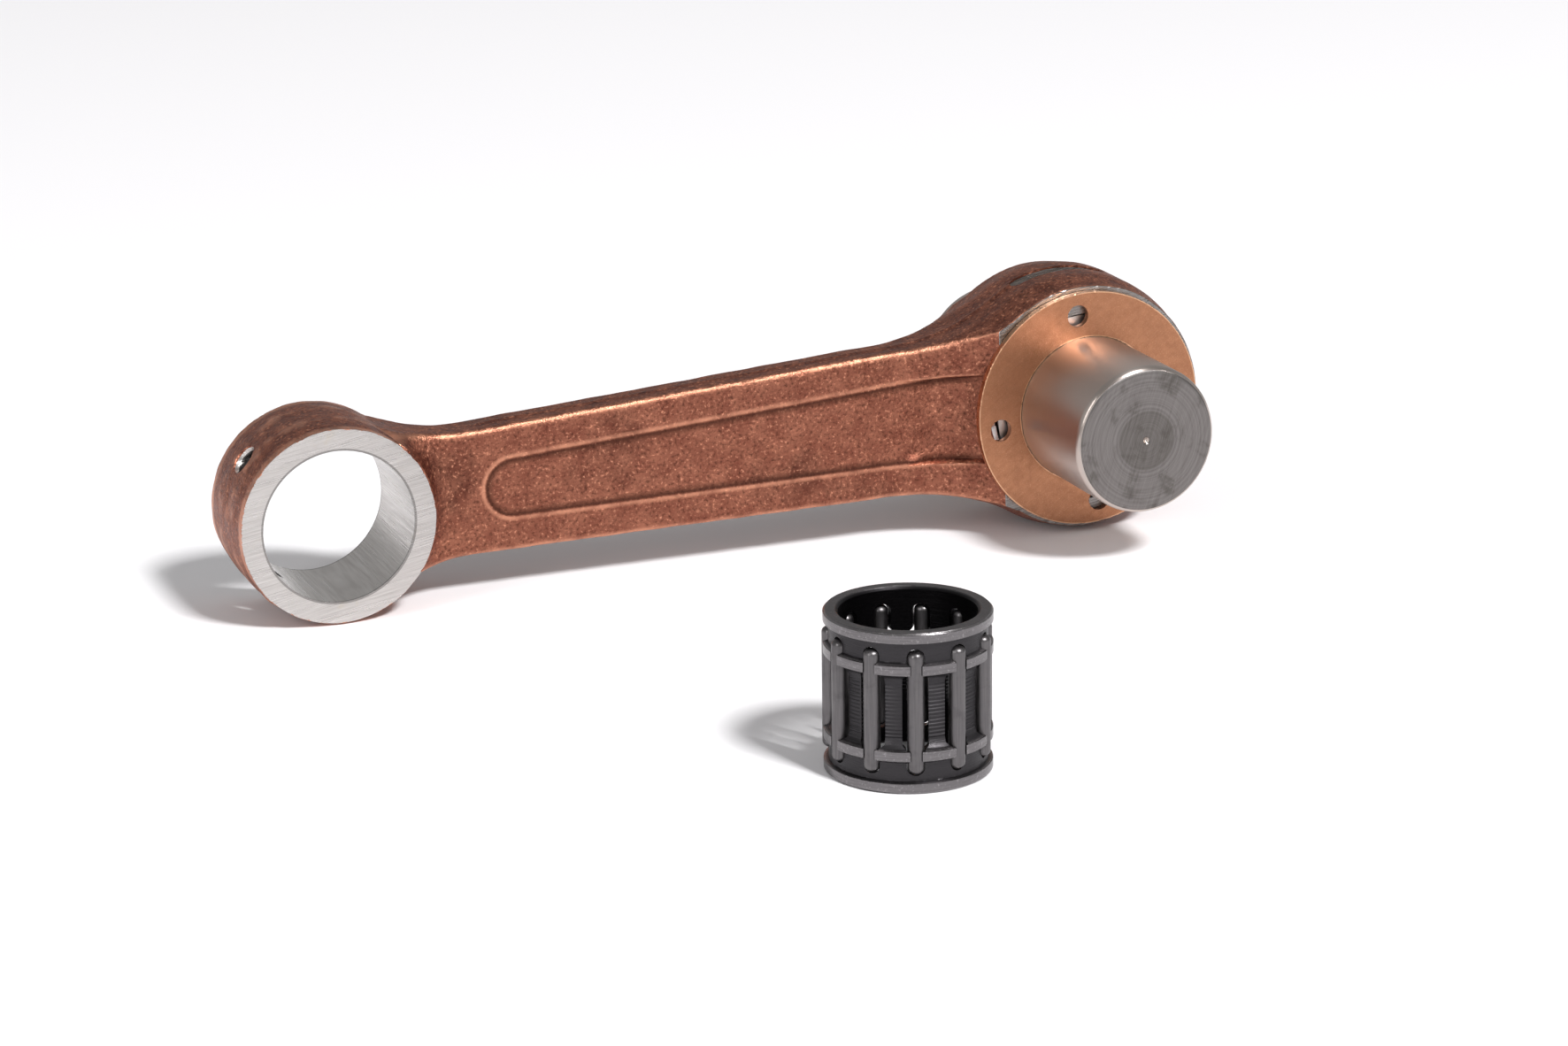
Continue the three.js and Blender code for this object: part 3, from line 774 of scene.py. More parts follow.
def plated_forging(colours, sizes):
    """Copper plate over a forging, worn bright on its edges and also painted there with a highlight, with bare
    ground steel where it was machined. Painted shade darkens the feet of the recess walls, the oil holes, the
    small bore's mouth and the thrust faces.
    """
    material, tree, shader, coordinates = new_material("plated_forging")
    at_small = millimetres_from(tree, coordinates, SMALL_END, RISE)
    at_big = millimetres_from(tree, coordinates, BIG_END, RISE)
    grain = place_group(tree, "Fine_Grain", {"Place": at_small, "Size": 0.48})
    patches = place_group(tree, "Cloudy_Patches", {"Place": at_small, "Size": 12.0, "Cover": 0.4})
    small_stains = place_group(tree, "Cloudy_Patches", {"Place": at_small, "Size": 2.2, "Cover": 0.35})
    edge_wear_and_highlight = add(tree, "ShaderNodeAttribute", attribute_name="edge_wear_and_highlight").outputs["Fac"]
    colour = tint(tree, patches.outputs[0], rgb(colours.copper), rgb(colours.copper_dark))
    colour = tint(
        tree, sum_of(tree, "MULTIPLY", small_stains.outputs[0], 0.25), colour, rgb(colours.copper_dark)
    )
    colour = tint(
        tree, sum_of(tree, "MULTIPLY", grain.outputs["Tone"], 0.22), colour, rgb(colours.copper_bright)
    )
    pits = sum_of(tree, "MULTIPLY", grain.outputs["Pits"], 0.65)
    colour = tint(tree, pits, colour, COPPER_PIT_AND_SHADE)
    colour = tint(
        tree, sum_of(tree, "MULTIPLY", grain.outputs["Specks"], 0.7), colour, rgb(colours.copper_bright)
    )
    lip, foot = recess_edges(tree, at_small, sizes)
    # Painted shade: the foot of each recess wall is darkened towards the pits' dark copper.
    colour = tint(tree, sum_of(tree, "MULTIPLY", foot, 0.8), colour, COPPER_PIT_AND_SHADE)
    # Painted highlight: the recess's lip joins the edge mask and is brightened with it.
    edge_wear_and_highlight = sum_of(tree, "MAXIMUM", edge_wear_and_highlight, sum_of(tree, "MULTIPLY", lip, 0.85))
    # Rubbed copper on the edges, brightened further as a painted highlight, as is the recess's lip.
    rubbed = sum_of(tree, "MULTIPLY", edge_wear_and_highlight, spread(tree, grain.outputs["Tone"], 0.1, 0.8, 0.45, 1.0))
    colour = tint(tree, sum_of(tree, "MULTIPLY", rubbed, 0.8), colour, rgb(colours.copper_bright))

    small = place_group(tree, "Turning_Rings", {"Place": at_small, "Width": 0.5})
    big = place_group(tree, "Turning_Rings", {"Place": at_big, "Width": 0.5})
    ragged = add(
        tree, "ShaderNodeTexNoise", {"Vector": at_small, "Scale": 0.55, "Detail": 5.0, "Roughness": 0.62}
    )
    rim = spread(tree, ragged.outputs[0], 0.25, 0.75, -0.28, 0.22)
    rim_radius = sum_of(tree, "ADD", rim, sizes.small_outer * MM - 0.2)
    inside_rim = sum_of(tree, "LESS_THAN", small.outputs["Radius"], rim_radius)
    small_side = sizes.small_width * MM / 2
    off_side = sum_of(tree, "GREATER_THAN", small.outputs["Off_Middle"], small_side - 0.12)
    small_face = sum_of(tree, "MULTIPLY", inside_rim, off_side)
    small_bore = sum_of(tree, "LESS_THAN", small.outputs["Radius"], sizes.small_bore * MM + 0.39)
    big_face = sum_of(tree, "GREATER_THAN", big.outputs["Off_Middle"], sizes.big_width * MM / 2 - 0.07)
    big_bore = sum_of(tree, "LESS_THAN", big.outputs["Radius"], sizes.big_bore * MM + 0.47)
    in_slot = sum_of(tree, "LESS_THAN", big.outputs["Off_Middle"], 1.34)
    below_crown = sum_of(tree, "LESS_THAN", big.outputs["Radius"], sizes.big_outer * MM - 0.3)
    in_slot = sum_of(tree, "MULTIPLY", in_slot, below_crown)
    small_bare = sum_of(tree, "MAXIMUM", small_face, small_bore)
    big_bare = sum_of(tree, "MAXIMUM", big_face, sum_of(tree, "MAXIMUM", big_bore, in_slot))
    holes = oil_holes(tree, at_small)
    bare = sum_of(tree, "MAXIMUM", sum_of(tree, "MAXIMUM", small_bare, big_bare), holes)

    turn = math.radians(8)
    lines = place_group(tree, "Ground_Lines", {"Place": at_small, "Turn": turn, "Length": 7.0, "Width": 0.1})
    steel = tint(tree, lines.outputs["Lines"], rgb(colours.steel_dark), rgb(colours.steel))
    stains = place_group(tree, "Cloudy_Patches", {"Place": at_small, "Size": 3.0, "Cover": 0.3})
    steel = tint(tree, sum_of(tree, "MULTIPLY", stains.outputs[0], 0.22), steel, rgb(colours.oil_stain))
    # Painted shade: the big end's thrust faces are much darker steel than the other ground faces, with their real
    # grinding lines.
    scored_in_shade = tint(tree, lines.outputs["Lines"], THRUST_FACE_SHADED_LINES, THRUST_FACE_SHADED)
    steel = tint(tree, sum_of(tree, "MULTIPLY", big_face, 0.8), steel, scored_in_shade)
    # Painted shade: below the rim, the oil holes' walls are darkened nearly to black.
    below_rim = sum_of(tree, "LESS_THAN", small.outputs["Radius"], sizes.small_outer * MM - 0.63)
    deep = sum_of(tree, "MULTIPLY", holes, below_rim)
    steel = tint(tree, sum_of(tree, "MULTIPLY", deep, 0.8), steel, OIL_HOLE_SHADE)
    # Painted shade: a thin dark line round the small bore's mouth stands for the shade of an edge chamfer that the
    # mesh doesn't have.
    near_bore = sum_of(tree, "LESS_THAN", small.outputs["Radius"], sizes.small_bore * MM + 0.27)
    at_edge = sum_of(tree, "GREATER_THAN", small.outputs["Off_Middle"], small_side - 0.28)
    mouth = sum_of(tree, "MULTIPLY", sum_of(tree, "MULTIPLY", inside_rim, near_bore), at_edge)
    steel = tint(tree, sum_of(tree, "MULTIPLY", mouth, 0.55), steel, BORE_EDGE_SHADE)
    colour = tint(tree, bare, colour, steel)
    tree.links.new(colour, shader.inputs["Base Color"])
    shader.inputs["Metallic"].default_value = 1.0

    copper_rough = spread(tree, grain.outputs["Height"], 0.8, 1.6, 0.38, 0.6)
    copper_rough = sum_of(tree, "SUBTRACT", copper_rough, sum_of(tree, "MULTIPLY", rubbed, 0.12))
    steel_rough = spread(tree, lines.outputs["Bands"], 0.0, 1.0, 0.24, 0.36)
    rough = add(tree, "ShaderNodeMix", {0: bare, 2: copper_rough, 3: steel_rough}).outputs[0]
    tree.links.new(rough, shader.inputs["Roughness"])
    fine_height = sum_of(tree, "MULTIPLY", lines.outputs["Lines"], 0.10)
    height = add(tree, "ShaderNodeMix", {0: bare, 2: grain.outputs["Height"], 3: fine_height}).outputs[0]
    bump(tree, shader, height, 0.9, 0.0002)
    return material


def ground_pin(colours, sizes):
    """Ground and polished steel, with turning marks and dull stains on the pin's ends, and on its side a brown
    tint that is a painted reflection of the bronze washers.
    """
    material, tree, shader, coordinates = new_material("ground_pin")
    place = millimetres_from(tree, coordinates, middle_of("crankpin"), RISE)
    rings = place_group(tree, "Turning_Rings", {"Place": place, "Width": 0.3})
    stains = place_group(tree, "Cloudy_Patches", {"Place": place, "Size": 3.5, "Cover": 0.5})
    lines = place_group(
        tree, "Ground_Lines", {"Place": place, "Turn": math.radians(70), "Length": 6.0, "Width": 0.2}
    )
    grain = place_group(tree, "Fine_Grain", {"Place": place, "Size": 0.3})
    on_end = sum_of(tree, "GREATER_THAN", rings.outputs["Off_Middle"], sizes.pin_length * MM / 2 - 0.15)
    end = tint(
        tree,
        sum_of(tree, "MULTIPLY", rings.outputs["Rings"], 0.14),
        rgb(colours.pin_end),
        rgb(colours.steel_dark),
    )
    end = tint(tree, sum_of(tree, "MULTIPLY", stains.outputs[0], 0.7), end, rgb(colours.pin_stain))
    disc = spread(tree, rings.outputs["Radius"], 3.9, 4.3, 0.45, 0.0, smooth=True)
    end = tint(tree, disc, end, rgb(colours.pin_stain))
    end = tint(tree, sum_of(tree, "MULTIPLY", lines.outputs["Lines"], 0.05), end, GROUND_GLINT)
    # The side's brown tint is a painted reflection of the bronze washers.
    side = tint(
        tree,
        sum_of(tree, "MULTIPLY", stains.outputs[0], 0.15),
        rgb(colours.pin_side),
        rgb(colours.steel_dark),
    )
    tree.links.new(tint(tree, on_end, side, end), shader.inputs["Base Color"])
    shader.inputs["Metallic"].default_value = 1.0
    side_rough = spread(tree, stains.outputs[0], 0.0, 1.0, 0.275, 0.29)
    stretched = sum_of(tree, "MULTIPLY", sum_of(tree, "SUBTRACT", 1.0, on_end), 0.85)
    tree.links.new(stretched, shader.inputs["Anisotropic"])
    shader.inputs["Anisotropic Rotation"].default_value = 0.25
    round_it = add(tree, "ShaderNodeTangent", direction_type="RADIAL", axis="Y")
    tree.links.new(round_it.outputs[0], shader.inputs["Tangent"])
    end_rough = spread(tree, stains.outputs[0], 0.0, 1.0, 0.36, 0.48)
    tree.links.new(
        add(tree, "ShaderNodeMix", {0: on_end, 2: side_rough, 3: end_rough}).outputs[0],
        shader.inputs["Roughness"],
    )
    marks = sum_of(
        tree, "ADD", rings.outputs["Rings"], sum_of(tree, "MULTIPLY", grain.outputs["Height"], 0.3)
    )
    marks = sum_of(tree, "MULTIPLY", marks, sum_of(tree, "ADD", sum_of(tree, "MULTIPLY", on_end, 0.95), 0.05))
    bump(tree, shader, marks, 0.35, 0.00002)
    return material


def satin_bronze(colours, sizes):
    """Rolled bronze: a fine grain, faint straight rolling lines, darker stains and a bright rubbed rim."""
    material, tree, shader, coordinates = new_material("satin_bronze")
    place = millimetres_from(tree, coordinates, BIG_END, RISE)
    rings = place_group(tree, "Turning_Rings", {"Place": place, "Width": 0.4})
    grain = place_group(tree, "Fine_Grain", {"Place": place, "Size": 0.16})
    lines = place_group(
        tree, "Ground_Lines", {"Place": place, "Turn": math.radians(35), "Length": 7.0, "Width": 0.25}
    )
    stains = place_group(tree, "Cloudy_Patches", {"Place": place, "Size": 3.0, "Cover": 0.4})
    colour = tint(
        tree,
        sum_of(tree, "MULTIPLY", grain.outputs["Tone"], 0.6),
        rgb(colours.bronze),
        rgb(colours.bronze_dark),
    )
    colour = tint(tree, sum_of(tree, "MULTIPLY", stains.outputs[0], 0.35), colour, rgb(colours.bronze_dark))
    colour = tint(
        tree, sum_of(tree, "MULTIPLY", lines.outputs["Lines"], 0.05), colour, rgb(colours.bronze_bright)
    )
    colour = tint(
        tree, sum_of(tree, "MULTIPLY", grain.outputs["Pits"], 0.3), colour, rgb(colours.bronze_dark)
    )
    colour = tint(
        tree, sum_of(tree, "MULTIPLY", grain.outputs["Specks"], 0.25), colour, rgb(colours.bronze_bright)
    )
    outside, hole = sizes.washer_outer * MM, sizes.washer_bore * MM
    outer = spread(tree, rings.outputs["Radius"], outside - 0.2, outside - 0.08, smooth=True)
    inner = spread(tree, rings.outputs["Radius"], hole + 0.09, hole + 0.19, 1.0, 0.0, smooth=True)
    rubbed = sum_of(tree, "MULTIPLY", sum_of(tree, "MAXIMUM", outer, inner), 0.7)
    colour = tint(tree, rubbed, colour, rgb(colours.bronze_bright))
    tree.links.new(colour, shader.inputs["Base Color"])
    shader.inputs["Metallic"].default_value = 1.0
    rough = spread(tree, grain.outputs["Height"], 0.8, 1.6, 0.3, 0.46)
    tree.links.new(
        sum_of(tree, "SUBTRACT", rough, sum_of(tree, "MULTIPLY", rubbed, 0.1)), shader.inputs["Roughness"]
    )
    height = sum_of(
        tree, "ADD", grain.outputs["Height"], sum_of(tree, "MULTIPLY", lines.outputs["Lines"], 0.15)
    )
    bump(tree, shader, height, 0.45, 0.00004)
    return material


def rolling_steel(colours, name, centre, across, shade, shine):
    """Steel of a rolling part: a faint cloud of stains, and fine lines across its length."""
    material, tree, shader, coordinates = new_material(name)
    place = millimetres_from(tree, coordinates, centre)
    grain = place_group(tree, "Fine_Grain", {"Place": place, "Size": 0.25})
    stains = place_group(tree, "Cloudy_Patches", {"Place": place, "Size": 2.2, "Cover": 0.5})
    lines = place_group(tree, "Ground_Lines", {"Place": place, "Turn": across, "Length": 5.0, "Width": 0.12})
    dark = tuple(0.8 * c for c in shade)
    colour = tint(tree, stains.outputs[0], rgb(shade), rgb(dark))
    colour = tint(
        tree, sum_of(tree, "MULTIPLY", lines.outputs["Lines"], 0.1), colour, rgb(colours.steel_dark)
    )
    tree.links.new(colour, shader.inputs["Base Color"])
    shader.inputs["Metallic"].default_value = 1.0
    tree.links.new(
        spread(tree, grain.outputs["Height"], 0.8, 1.6, shine, shine + 0.14), shader.inputs["Roughness"]
    )
    height = sum_of(
        tree, "ADD", lines.outputs["Lines"], sum_of(tree, "MULTIPLY", grain.outputs["Height"], 0.5)
    )
    bump(tree, shader, height, 0.25, 0.00002)
    return material


def blued_cage(colours, sizes):
    """Blued steel, painted nearly black as shade in the cage's bore, lighter grey on rims and lugs as rubbed steel
    and as a painted highlight, and ridged on its bars.
    """
    material, tree, shader, coordinates = new_material("needle_cage_steel")
    place = millimetres_from(tree, coordinates, BEARING)
    grain = place_group(tree, "Fine_Grain", {"Place": place, "Size": 0.3})
    lines = place_group(tree, "Ground_Lines", {"Place": place, "Length": 4.0, "Width": 0.14})
    parts = add(tree, "ShaderNodeSeparateXYZ", {0: place})
    flat = add(tree, "ShaderNodeCombineXYZ", {0: parts.outputs[0], 1: parts.outputs[1]})
    radius = add(tree, "ShaderNodeVectorMath", {0: flat.outputs[0]}, operation="LENGTH").outputs["Value"]
    rim, half, bore = sizes.cage_rim * MM, sizes.cage_height * MM / 2, sizes.cage_bore * MM
    height = sum_of(tree, "ABSOLUTE", parts.outputs[2])
    # The raised rims and lugs are lighter grey, as rubbed steel and as a painted highlight.
    raised = spread(tree, radius, rim - 0.55, rim - 0.05, smooth=True)
    at_end = spread(tree, height, half - 0.15, half - 0.03)
    # Painted highlight: a band just inside the outer edge of the rims and lugs.
    below_edge = spread(tree, radius, rim - 0.05, rim - 0.01, 1.0, 0.0)
    broken = sum_of(tree, "MULTIPLY", spread(tree, radius, rim - 0.35, rim - 0.15), below_edge)
    raised = sum_of(
        tree, "MAXIMUM", sum_of(tree, "MULTIPLY", raised, 0.75), sum_of(tree, "MULTIPLY", at_end, 0.3)
    )
    raised = sum_of(tree, "MAXIMUM", raised, broken)
    # Painted shade: the cage's bore is darkened nearly to black.
    bore_shade = spread(tree, radius, bore + 0.05, bore + 0.5, 1.0, 0.0)
    base = tint(tree, bore_shade, rgb(colours.cage), CAGE_INSIDE_SHADE)
    colour = tint(tree, raised, base, rgb(colours.cage_bright))
    colour = tint(tree, sum_of(tree, "MULTIPLY", lines.outputs["Lines"], 0.3), colour, base)
    specks = sum_of(tree, "MULTIPLY", grain.outputs["Specks"], sum_of(tree, "MULTIPLY", raised, 0.5))
    colour = tint(tree, specks, colour, CAGE_GLINT)
    tree.links.new(colour, shader.inputs["Base Color"])
    shader.inputs["Metallic"].default_value = 1.0
    tree.links.new(spread(tree, raised, 0.0, 1.0, 0.42, 0.27), shader.inputs["Roughness"])
    wave = sum_of(tree, "SINE", sum_of(tree, "MULTIPLY", parts.outputs[2], 2 * math.pi / 0.45))
    on_web = sum_of(tree, "LESS_THAN", height, half - 6.35)
    ridges = sum_of(tree, "MULTIPLY", sum_of(tree, "MULTIPLY", wave, on_web), 2.0)
    relief = sum_of(tree, "ADD", ridges, sum_of(tree, "ADD", lines.outputs["Lines"], grain.outputs["Height"]))
    bump(tree, shader, relief, 0.5, 0.00004)
    return material


# ---- What a user may change ---------------------------------------------------------------------------


def length(label, about, value):
    """A length in metres as a property."""
    return bpy.props.FloatProperty(
        name=label, description=about, default=value, min=0, unit="LENGTH", precision=5
    )


def colour(label, about, value):
    """A colour as a property."""
    return bpy.props.FloatVectorProperty(
        name=label, description=about, default=value, subtype="COLOR", size=3, min=0, max=1
    )


class RodSetSizes(bpy.types.PropertyGroup):
    """Sizes of the finished surfaces, in metres."""

    small_outer: length("Small eye radius", "Outside radius of the small eye", 0.01313)
    small_bore: length("Small bore radius", "Radius of the small end's bore", 0.01003)
    small_width: length("Small eye width", "Width between the small end's machined faces", 0.0154)
    big_outer: length("Big eye radius", "Outside radius of the big eye at its crown", 0.0176)
    big_bore: length("Big bore radius", "Radius of the big end's bore", 0.01303)
    big_width: length("Big eye width", "Width between the thrust faces", 0.016)
    shank_thickness: length("Shank thickness", "Thickness of the shank's flanges", 0.0058)
    shank_height_small: length("Shank height, small end", "Height where the taper starts", 0.0156)
    shank_height_big: length("Shank height, big end", "Height where the taper would end", 0.0218)
    neck_radius: length("Neck radius", "Radius on which the shank runs into each eye", 0.028)
    flare_radius: length("Flare radius", "Radius on which the shank widens to the thrust faces", 0.026)
    face_flat: length(
        "Thrust face edge", "From the big bore's middle to the straight edge of its face", 0.0122
    )
    recess_depth: length("Recess depth", "How deep the recess is, where the side flares out", 0.001)
    flange_height: length("Flange height", "Height of the flange above and below the recess", 0.0045)
    pin_radius: length("Crankpin radius", "Radius of the crankpin", 0.00997)
    pin_length: length("Crankpin length", "Length of the crankpin", 0.051)
    washer_outer: length("Washer radius", "Outside radius of a thrust washer", 0.0162)
    washer_bore: length("Washer bore", "Radius of the hole in a thrust washer", 0.01003)
    washer_thickness: length("Washer thickness", "Thickness of a thrust washer", 0.001)
    washer_hole: length("Washer oil hole", "Radius of each oil hole in a thrust washer", 0.0015)
    cage_height: length("Needle cage height", "Height of the needle cage", 0.0193)
    cage_bore: length("Needle cage bore", "Inside radius of the needle cage", 0.0081)
    cage_rim: length("Needle cage rim", "Outside radius of the needle cage's rims", 0.00985)
    needle_circle: length("Needle circle", "Radius of the circle that the needles stand on", 0.009)
    needle_radius: length("Needle radius", "Radius of a needle", 0.00099)
    needle_length: length("Needle length", "Length of a needle", 0.0148)


class RodSetColours(bpy.types.PropertyGroup):
    """Colours of the finishes."""

    copper: colour("Copper plate", "Matt copper plate", (0.23, 0.077, 0.05))
    copper_dark: colour("Copper, darkened", "Copper plate where it is darker", (0.135, 0.044, 0.03))
    # Also the colour of the painted highlights on the forging's rounded edges and on the recess's lip.
    copper_bright: colour("Copper, worn", "Copper plate where it is rubbed bright", (0.76, 0.35, 0.22))
    steel: colour("Ground steel", "Bright ground steel", (0.68, 0.65, 0.63))
    steel_dark: colour("Ground steel, dull", "Dull lines in the ground steel", (0.52, 0.49, 0.47))
    oil_stain: colour("Oil stain", "Faint yellow stains on the steel", (0.62, 0.5, 0.33))
    # Its brown tint is a painted reflection of the bronze washers.
    pin_side: colour("Pin side", "The crankpin's polished side", (0.53, 0.46, 0.42))
    pin_end: colour("Pin end", "The crankpin's ground end", (0.155, 0.14, 0.135))
    pin_stain: colour("Pin end, stained", "Stains on the crankpin's end", (0.085, 0.075, 0.066))
    bronze: colour("Bronze", "Satin bronze", (0.43, 0.195, 0.105))
    bronze_dark: colour("Bronze, stained", "Bronze where it is darker", (0.33, 0.145, 0.08))
    bronze_bright: colour("Bronze, rubbed", "Bronze on its rubbed rims", (0.86, 0.52, 0.32))
    cage: colour("Cage", "Dark cage steel", (0.05, 0.047, 0.05))
    # Also the colour of the painted highlights on the cage's rims, lugs and their edges.
    cage_bright: colour("Cage, rubbed", "Cage steel where it is rubbed", (0.26, 0.245, 0.25))
    needle: colour("Needle", "Needle steel", (0.125, 0.118, 0.122))


class RodSetStage(bpy.types.PropertyGroup):
    """The floor, the lights and the camera."""

    floor_half: length("Floor half-width", "Half the width of the floor", 4.0)
    azimuth: bpy.props.FloatProperty(
        name="Camera turn",
        description="Turn of the camera round the set",
        default=math.radians(-21.348),
        subtype="ANGLE",
    )
    elevation: bpy.props.FloatProperty(
        name="Camera height",
        description="Angle above the floor",
        default=math.radians(16.655),
        subtype="ANGLE",
    )
    roll: bpy.props.FloatProperty(
        name="Camera roll", description="Roll of the camera", default=math.radians(0.691), subtype="ANGLE"
    )
    distance: length("Camera distance", "From the camera to the point that it looks at", 0.535512)
    aim: bpy.props.FloatVectorProperty(
        name="Aim", description="From the small bore to the point that the camera looks at", default=(
            0.04642, -0.044773, 0.005076
        ), unit="LENGTH"
    )
    lens: bpy.props.FloatProperty(
        name="Lens", description="Focal length in millimetres", default=99.59, min=1
    )
    key_power: bpy.props.FloatProperty(
        name="Key light", description="Power of the key light in watts", default=104.0, min=0
    )
    fill_power: bpy.props.FloatProperty(
        name="Fill light", description="Power of the fill light in watts", default=20.0, min=0
    )
    room: bpy.props.FloatProperty(
        name="Room light", description="Strength of the white room", default=0.34, min=0
    )


# ---- Operators ----------------------------------------------------------------------------------------


class RODSET_OT_forging(bpy.types.Operator):
    """Builds the copper-plated forging with its bores, oil holes and slots, and its shaded recesses."""

    bl_idname = "rodset.forging"
    bl_label = "Forge the rod"

    def execute(self, context):
        """Skins the rod's field on a grid that is finer round the two ends."""
        sizes, colours = context.scene.rodset_sizes, context.scene.rodset_colours
        shape = RodShape(sizes)
        fine = 0.36
        xs = graded(-14.3, CENTRES + 18.6, 20.0, 86.0, fine, 0.62)
        ys = np.arange(-8.6, 8.7, 0.34)
        zs = np.arange(-18.4, 18.5, fine)
        points, quads = skin(shape, xs, ys, zs)
        material = plated_forging(colours, sizes)
        piece = mesh_piece(
            "rod_forging", in_rod(points), quads.tolist(), material, "rod", ["rod"]
        )
        store_mask(piece, "edge_wear_and_highlight", shape.edge_wear_and_highlight(*points.T))
        return {"FINISHED"}


class RODSET_OT_crankpin(bpy.types.Operator):
    """Turns the crankpin, with rounded ends and a centre mark in each."""

    bl_idname = "rodset.crankpin"
    bl_label = "Turn the crankpin"

    def execute(self, context):
        """Carries the pin's profile round its axis. The pin stands a little forward of the rod's middle."""
        sizes, colours = context.scene.rodset_sizes, context.scene.rodset_colours
        radius, half = sizes.pin_radius * MM, sizes.pin_length * MM / 2
        side = [[0, half - 0.55], [0.32, half - 0.22], [0.55, half - 0.03], [0.75, half]]
        side += [[radius - 0.75, half], [radius - 0.2, half - 0.28], [radius, half - 0.85]]
        profile = np.array(side)
        whole = np.concatenate([profile, profile[::-1] * [1, -1]])
        points, faces = lathe(softened(whole, 0.22, steps=3, closed=False), 160, closed=False)
        place = points + [CENTRES, (middle_of("crankpin").y - BIG_END.y) * MM, 0]
        mesh_piece(
            "crankpin_ground",
            in_rod(place),
            faces,
            ground_pin(colours, sizes),
            "crankpin",
            ["crankpin"],
        )
        return {"FINISHED"}


class RODSET_OT_washers(bpy.types.Operator):
    """Stamps the two bronze thrust washers with their oil holes."""

    bl_idname = "rodset.washers"
    bl_label = "Stamp the washers"

    def execute(self, context):
        """Skins one washer's field and places it on both sides of the big end."""
        sizes, colours = context.scene.rodset_sizes, context.scene.rodset_colours
        shape = WasherShape(sizes, math.radians(5))
        reach = sizes.washer_outer * MM + 0.4
        flat = np.arange(-reach, reach + 0.3, 0.27)
        points, quads = skin(shape, flat, np.linspace(-0.72, 0.72, 9), flat)
        material = satin_bronze(colours, sizes)
        for node in ("thrust_washer_front", "thrust_washer_back"):
            side = (middle_of(node).y - BIG_END.y) * MM
            place = in_rod(points + [CENTRES, side, 0])
            mesh_piece(node + "_rolled", place, quads.tolist(), material, node, [node])
        return {"FINISHED"}


class RODSET_OT_roller_bearing(bpy.types.Operator):
    """Finishes the big end's cage and rollers, which stay as the CAD made them."""

    bl_idname = "rodset.roller_bearing"
    bl_label = "Finish the roller bearing"

    def execute(self, context):
        """Gives the cage and each roller its steel."""
        colours = context.scene.rodset_colours
        cage = rolling_steel(colours, "roller_cage_steel", BIG_END, 0.0, colours.steel, 0.3)
        roller = rolling_steel(colours, "roller_steel", BIG_END, 0.0, colours.steel, 0.14)
        for name, node in frame["nodes"].items():
            if name == "big_end_cage" or name.startswith("big_end_roller"):
                node.data.materials.clear()
                node.data.materials.append(cage if name == "big_end_cage" else roller)
        return {"FINISHED"}


class RODSET_OT_needle_cage(bpy.types.Operator):
    """Mills the needle cage with its rims, necks, raised lugs and ridged bars."""

    bl_idname = "rodset.needle_cage"
    bl_label = "Mill the needle cage"

    def execute(self, context):
        """Skins the cage's field. The first needle's middle gives the windows their turn."""
        sizes, colours = context.scene.rodset_sizes, context.scene.rodset_colours
        needles = [name for name in frame["nodes"] if name.startswith("needle_") and name != "needle_cage"]
        way = middle_of("needle_01") - BEARING
        shape = CageShape(sizes, math.atan2(way.y, way.x), len(needles))
        flat = np.arange(-10.3, 10.4, 0.2)
        points, quads = skin(shape, flat, flat, np.arange(-9.93, 10.0, 0.18))
        place = standing_at(BEARING)(points)
        material = blued_cage(colours, sizes)
        mesh_piece(
            "needle_cage_milled",
            place,
            quads.tolist(),
            material,
            "needle_cage",
            ["needle_cage"],
        )
        return {"FINISHED"}


class RODSET_OT_needles(bpy.types.Operator):
    """Grinds the needles, each with rounded ends."""

    bl_idname = "rodset.needles"
    bl_label = "Grind the needles"

    def execute(self, context):
        """Carries a needle's profile round its axis, and stands a copy where each CAD needle is."""
        sizes, colours = context.scene.rodset_sizes, context.scene.rodset_colours
        radius, half = sizes.needle_radius * MM, sizes.needle_length * MM / 2
        t = np.linspace(0, np.pi / 2, 7)
        cap = np.column_stack([radius * np.sin(t), half - 0.75 * (1 - np.cos(t))])
        profile = np.concatenate([cap, cap[::-1] * [1, -1]])
        points, faces = lathe(profile, 32, closed=False)
        upright = points[:, [0, 2, 1]] * [1, -1, 1]
        material = rolling_steel(colours, "needle_steel", BEARING, math.radians(90), colours.needle, 0.32)
        for name in frame["nodes"]:
            if name.startswith("needle_") and name != "needle_cage":
                place = standing_at(middle_of(name))(upright)
                mesh_piece(name + "_ground", place, faces, material, name, [name])
        return {"FINISHED"}


def look_along(thing, start, target, roll=0.0):
    """Stands a camera or light at a point, facing another, rolled about its own line of sight."""
    way = Vector(target) - Vector(start)
    thing.location = start
    turn = way.to_track_quat("-Z", "Y").to_matrix()
    side, up = turn.col[0].copy(), turn.col[1].copy()
    rolled = math.cos(roll) * side - math.sin(roll) * up
    rolled_up = math.sin(roll) * side + math.cos(roll) * up
    turn.col[0], turn.col[1] = rolled, rolled_up
    thing.rotation_euler = turn.to_euler()


def soft_box(name, start, target, width, height, power, tone=(1, 1, 1)):
    """A rectangular area light."""
    light = bpy.data.lights.new(name, "AREA")
    light.shape = "RECTANGLE"
    light.size, light.size_y, light.energy, light.color = width, height, power, tone
    lamp = bpy.data.objects.new(name, light)
    bpy.context.scene.collection.objects.link(lamp)
    look_along(lamp, start, target)


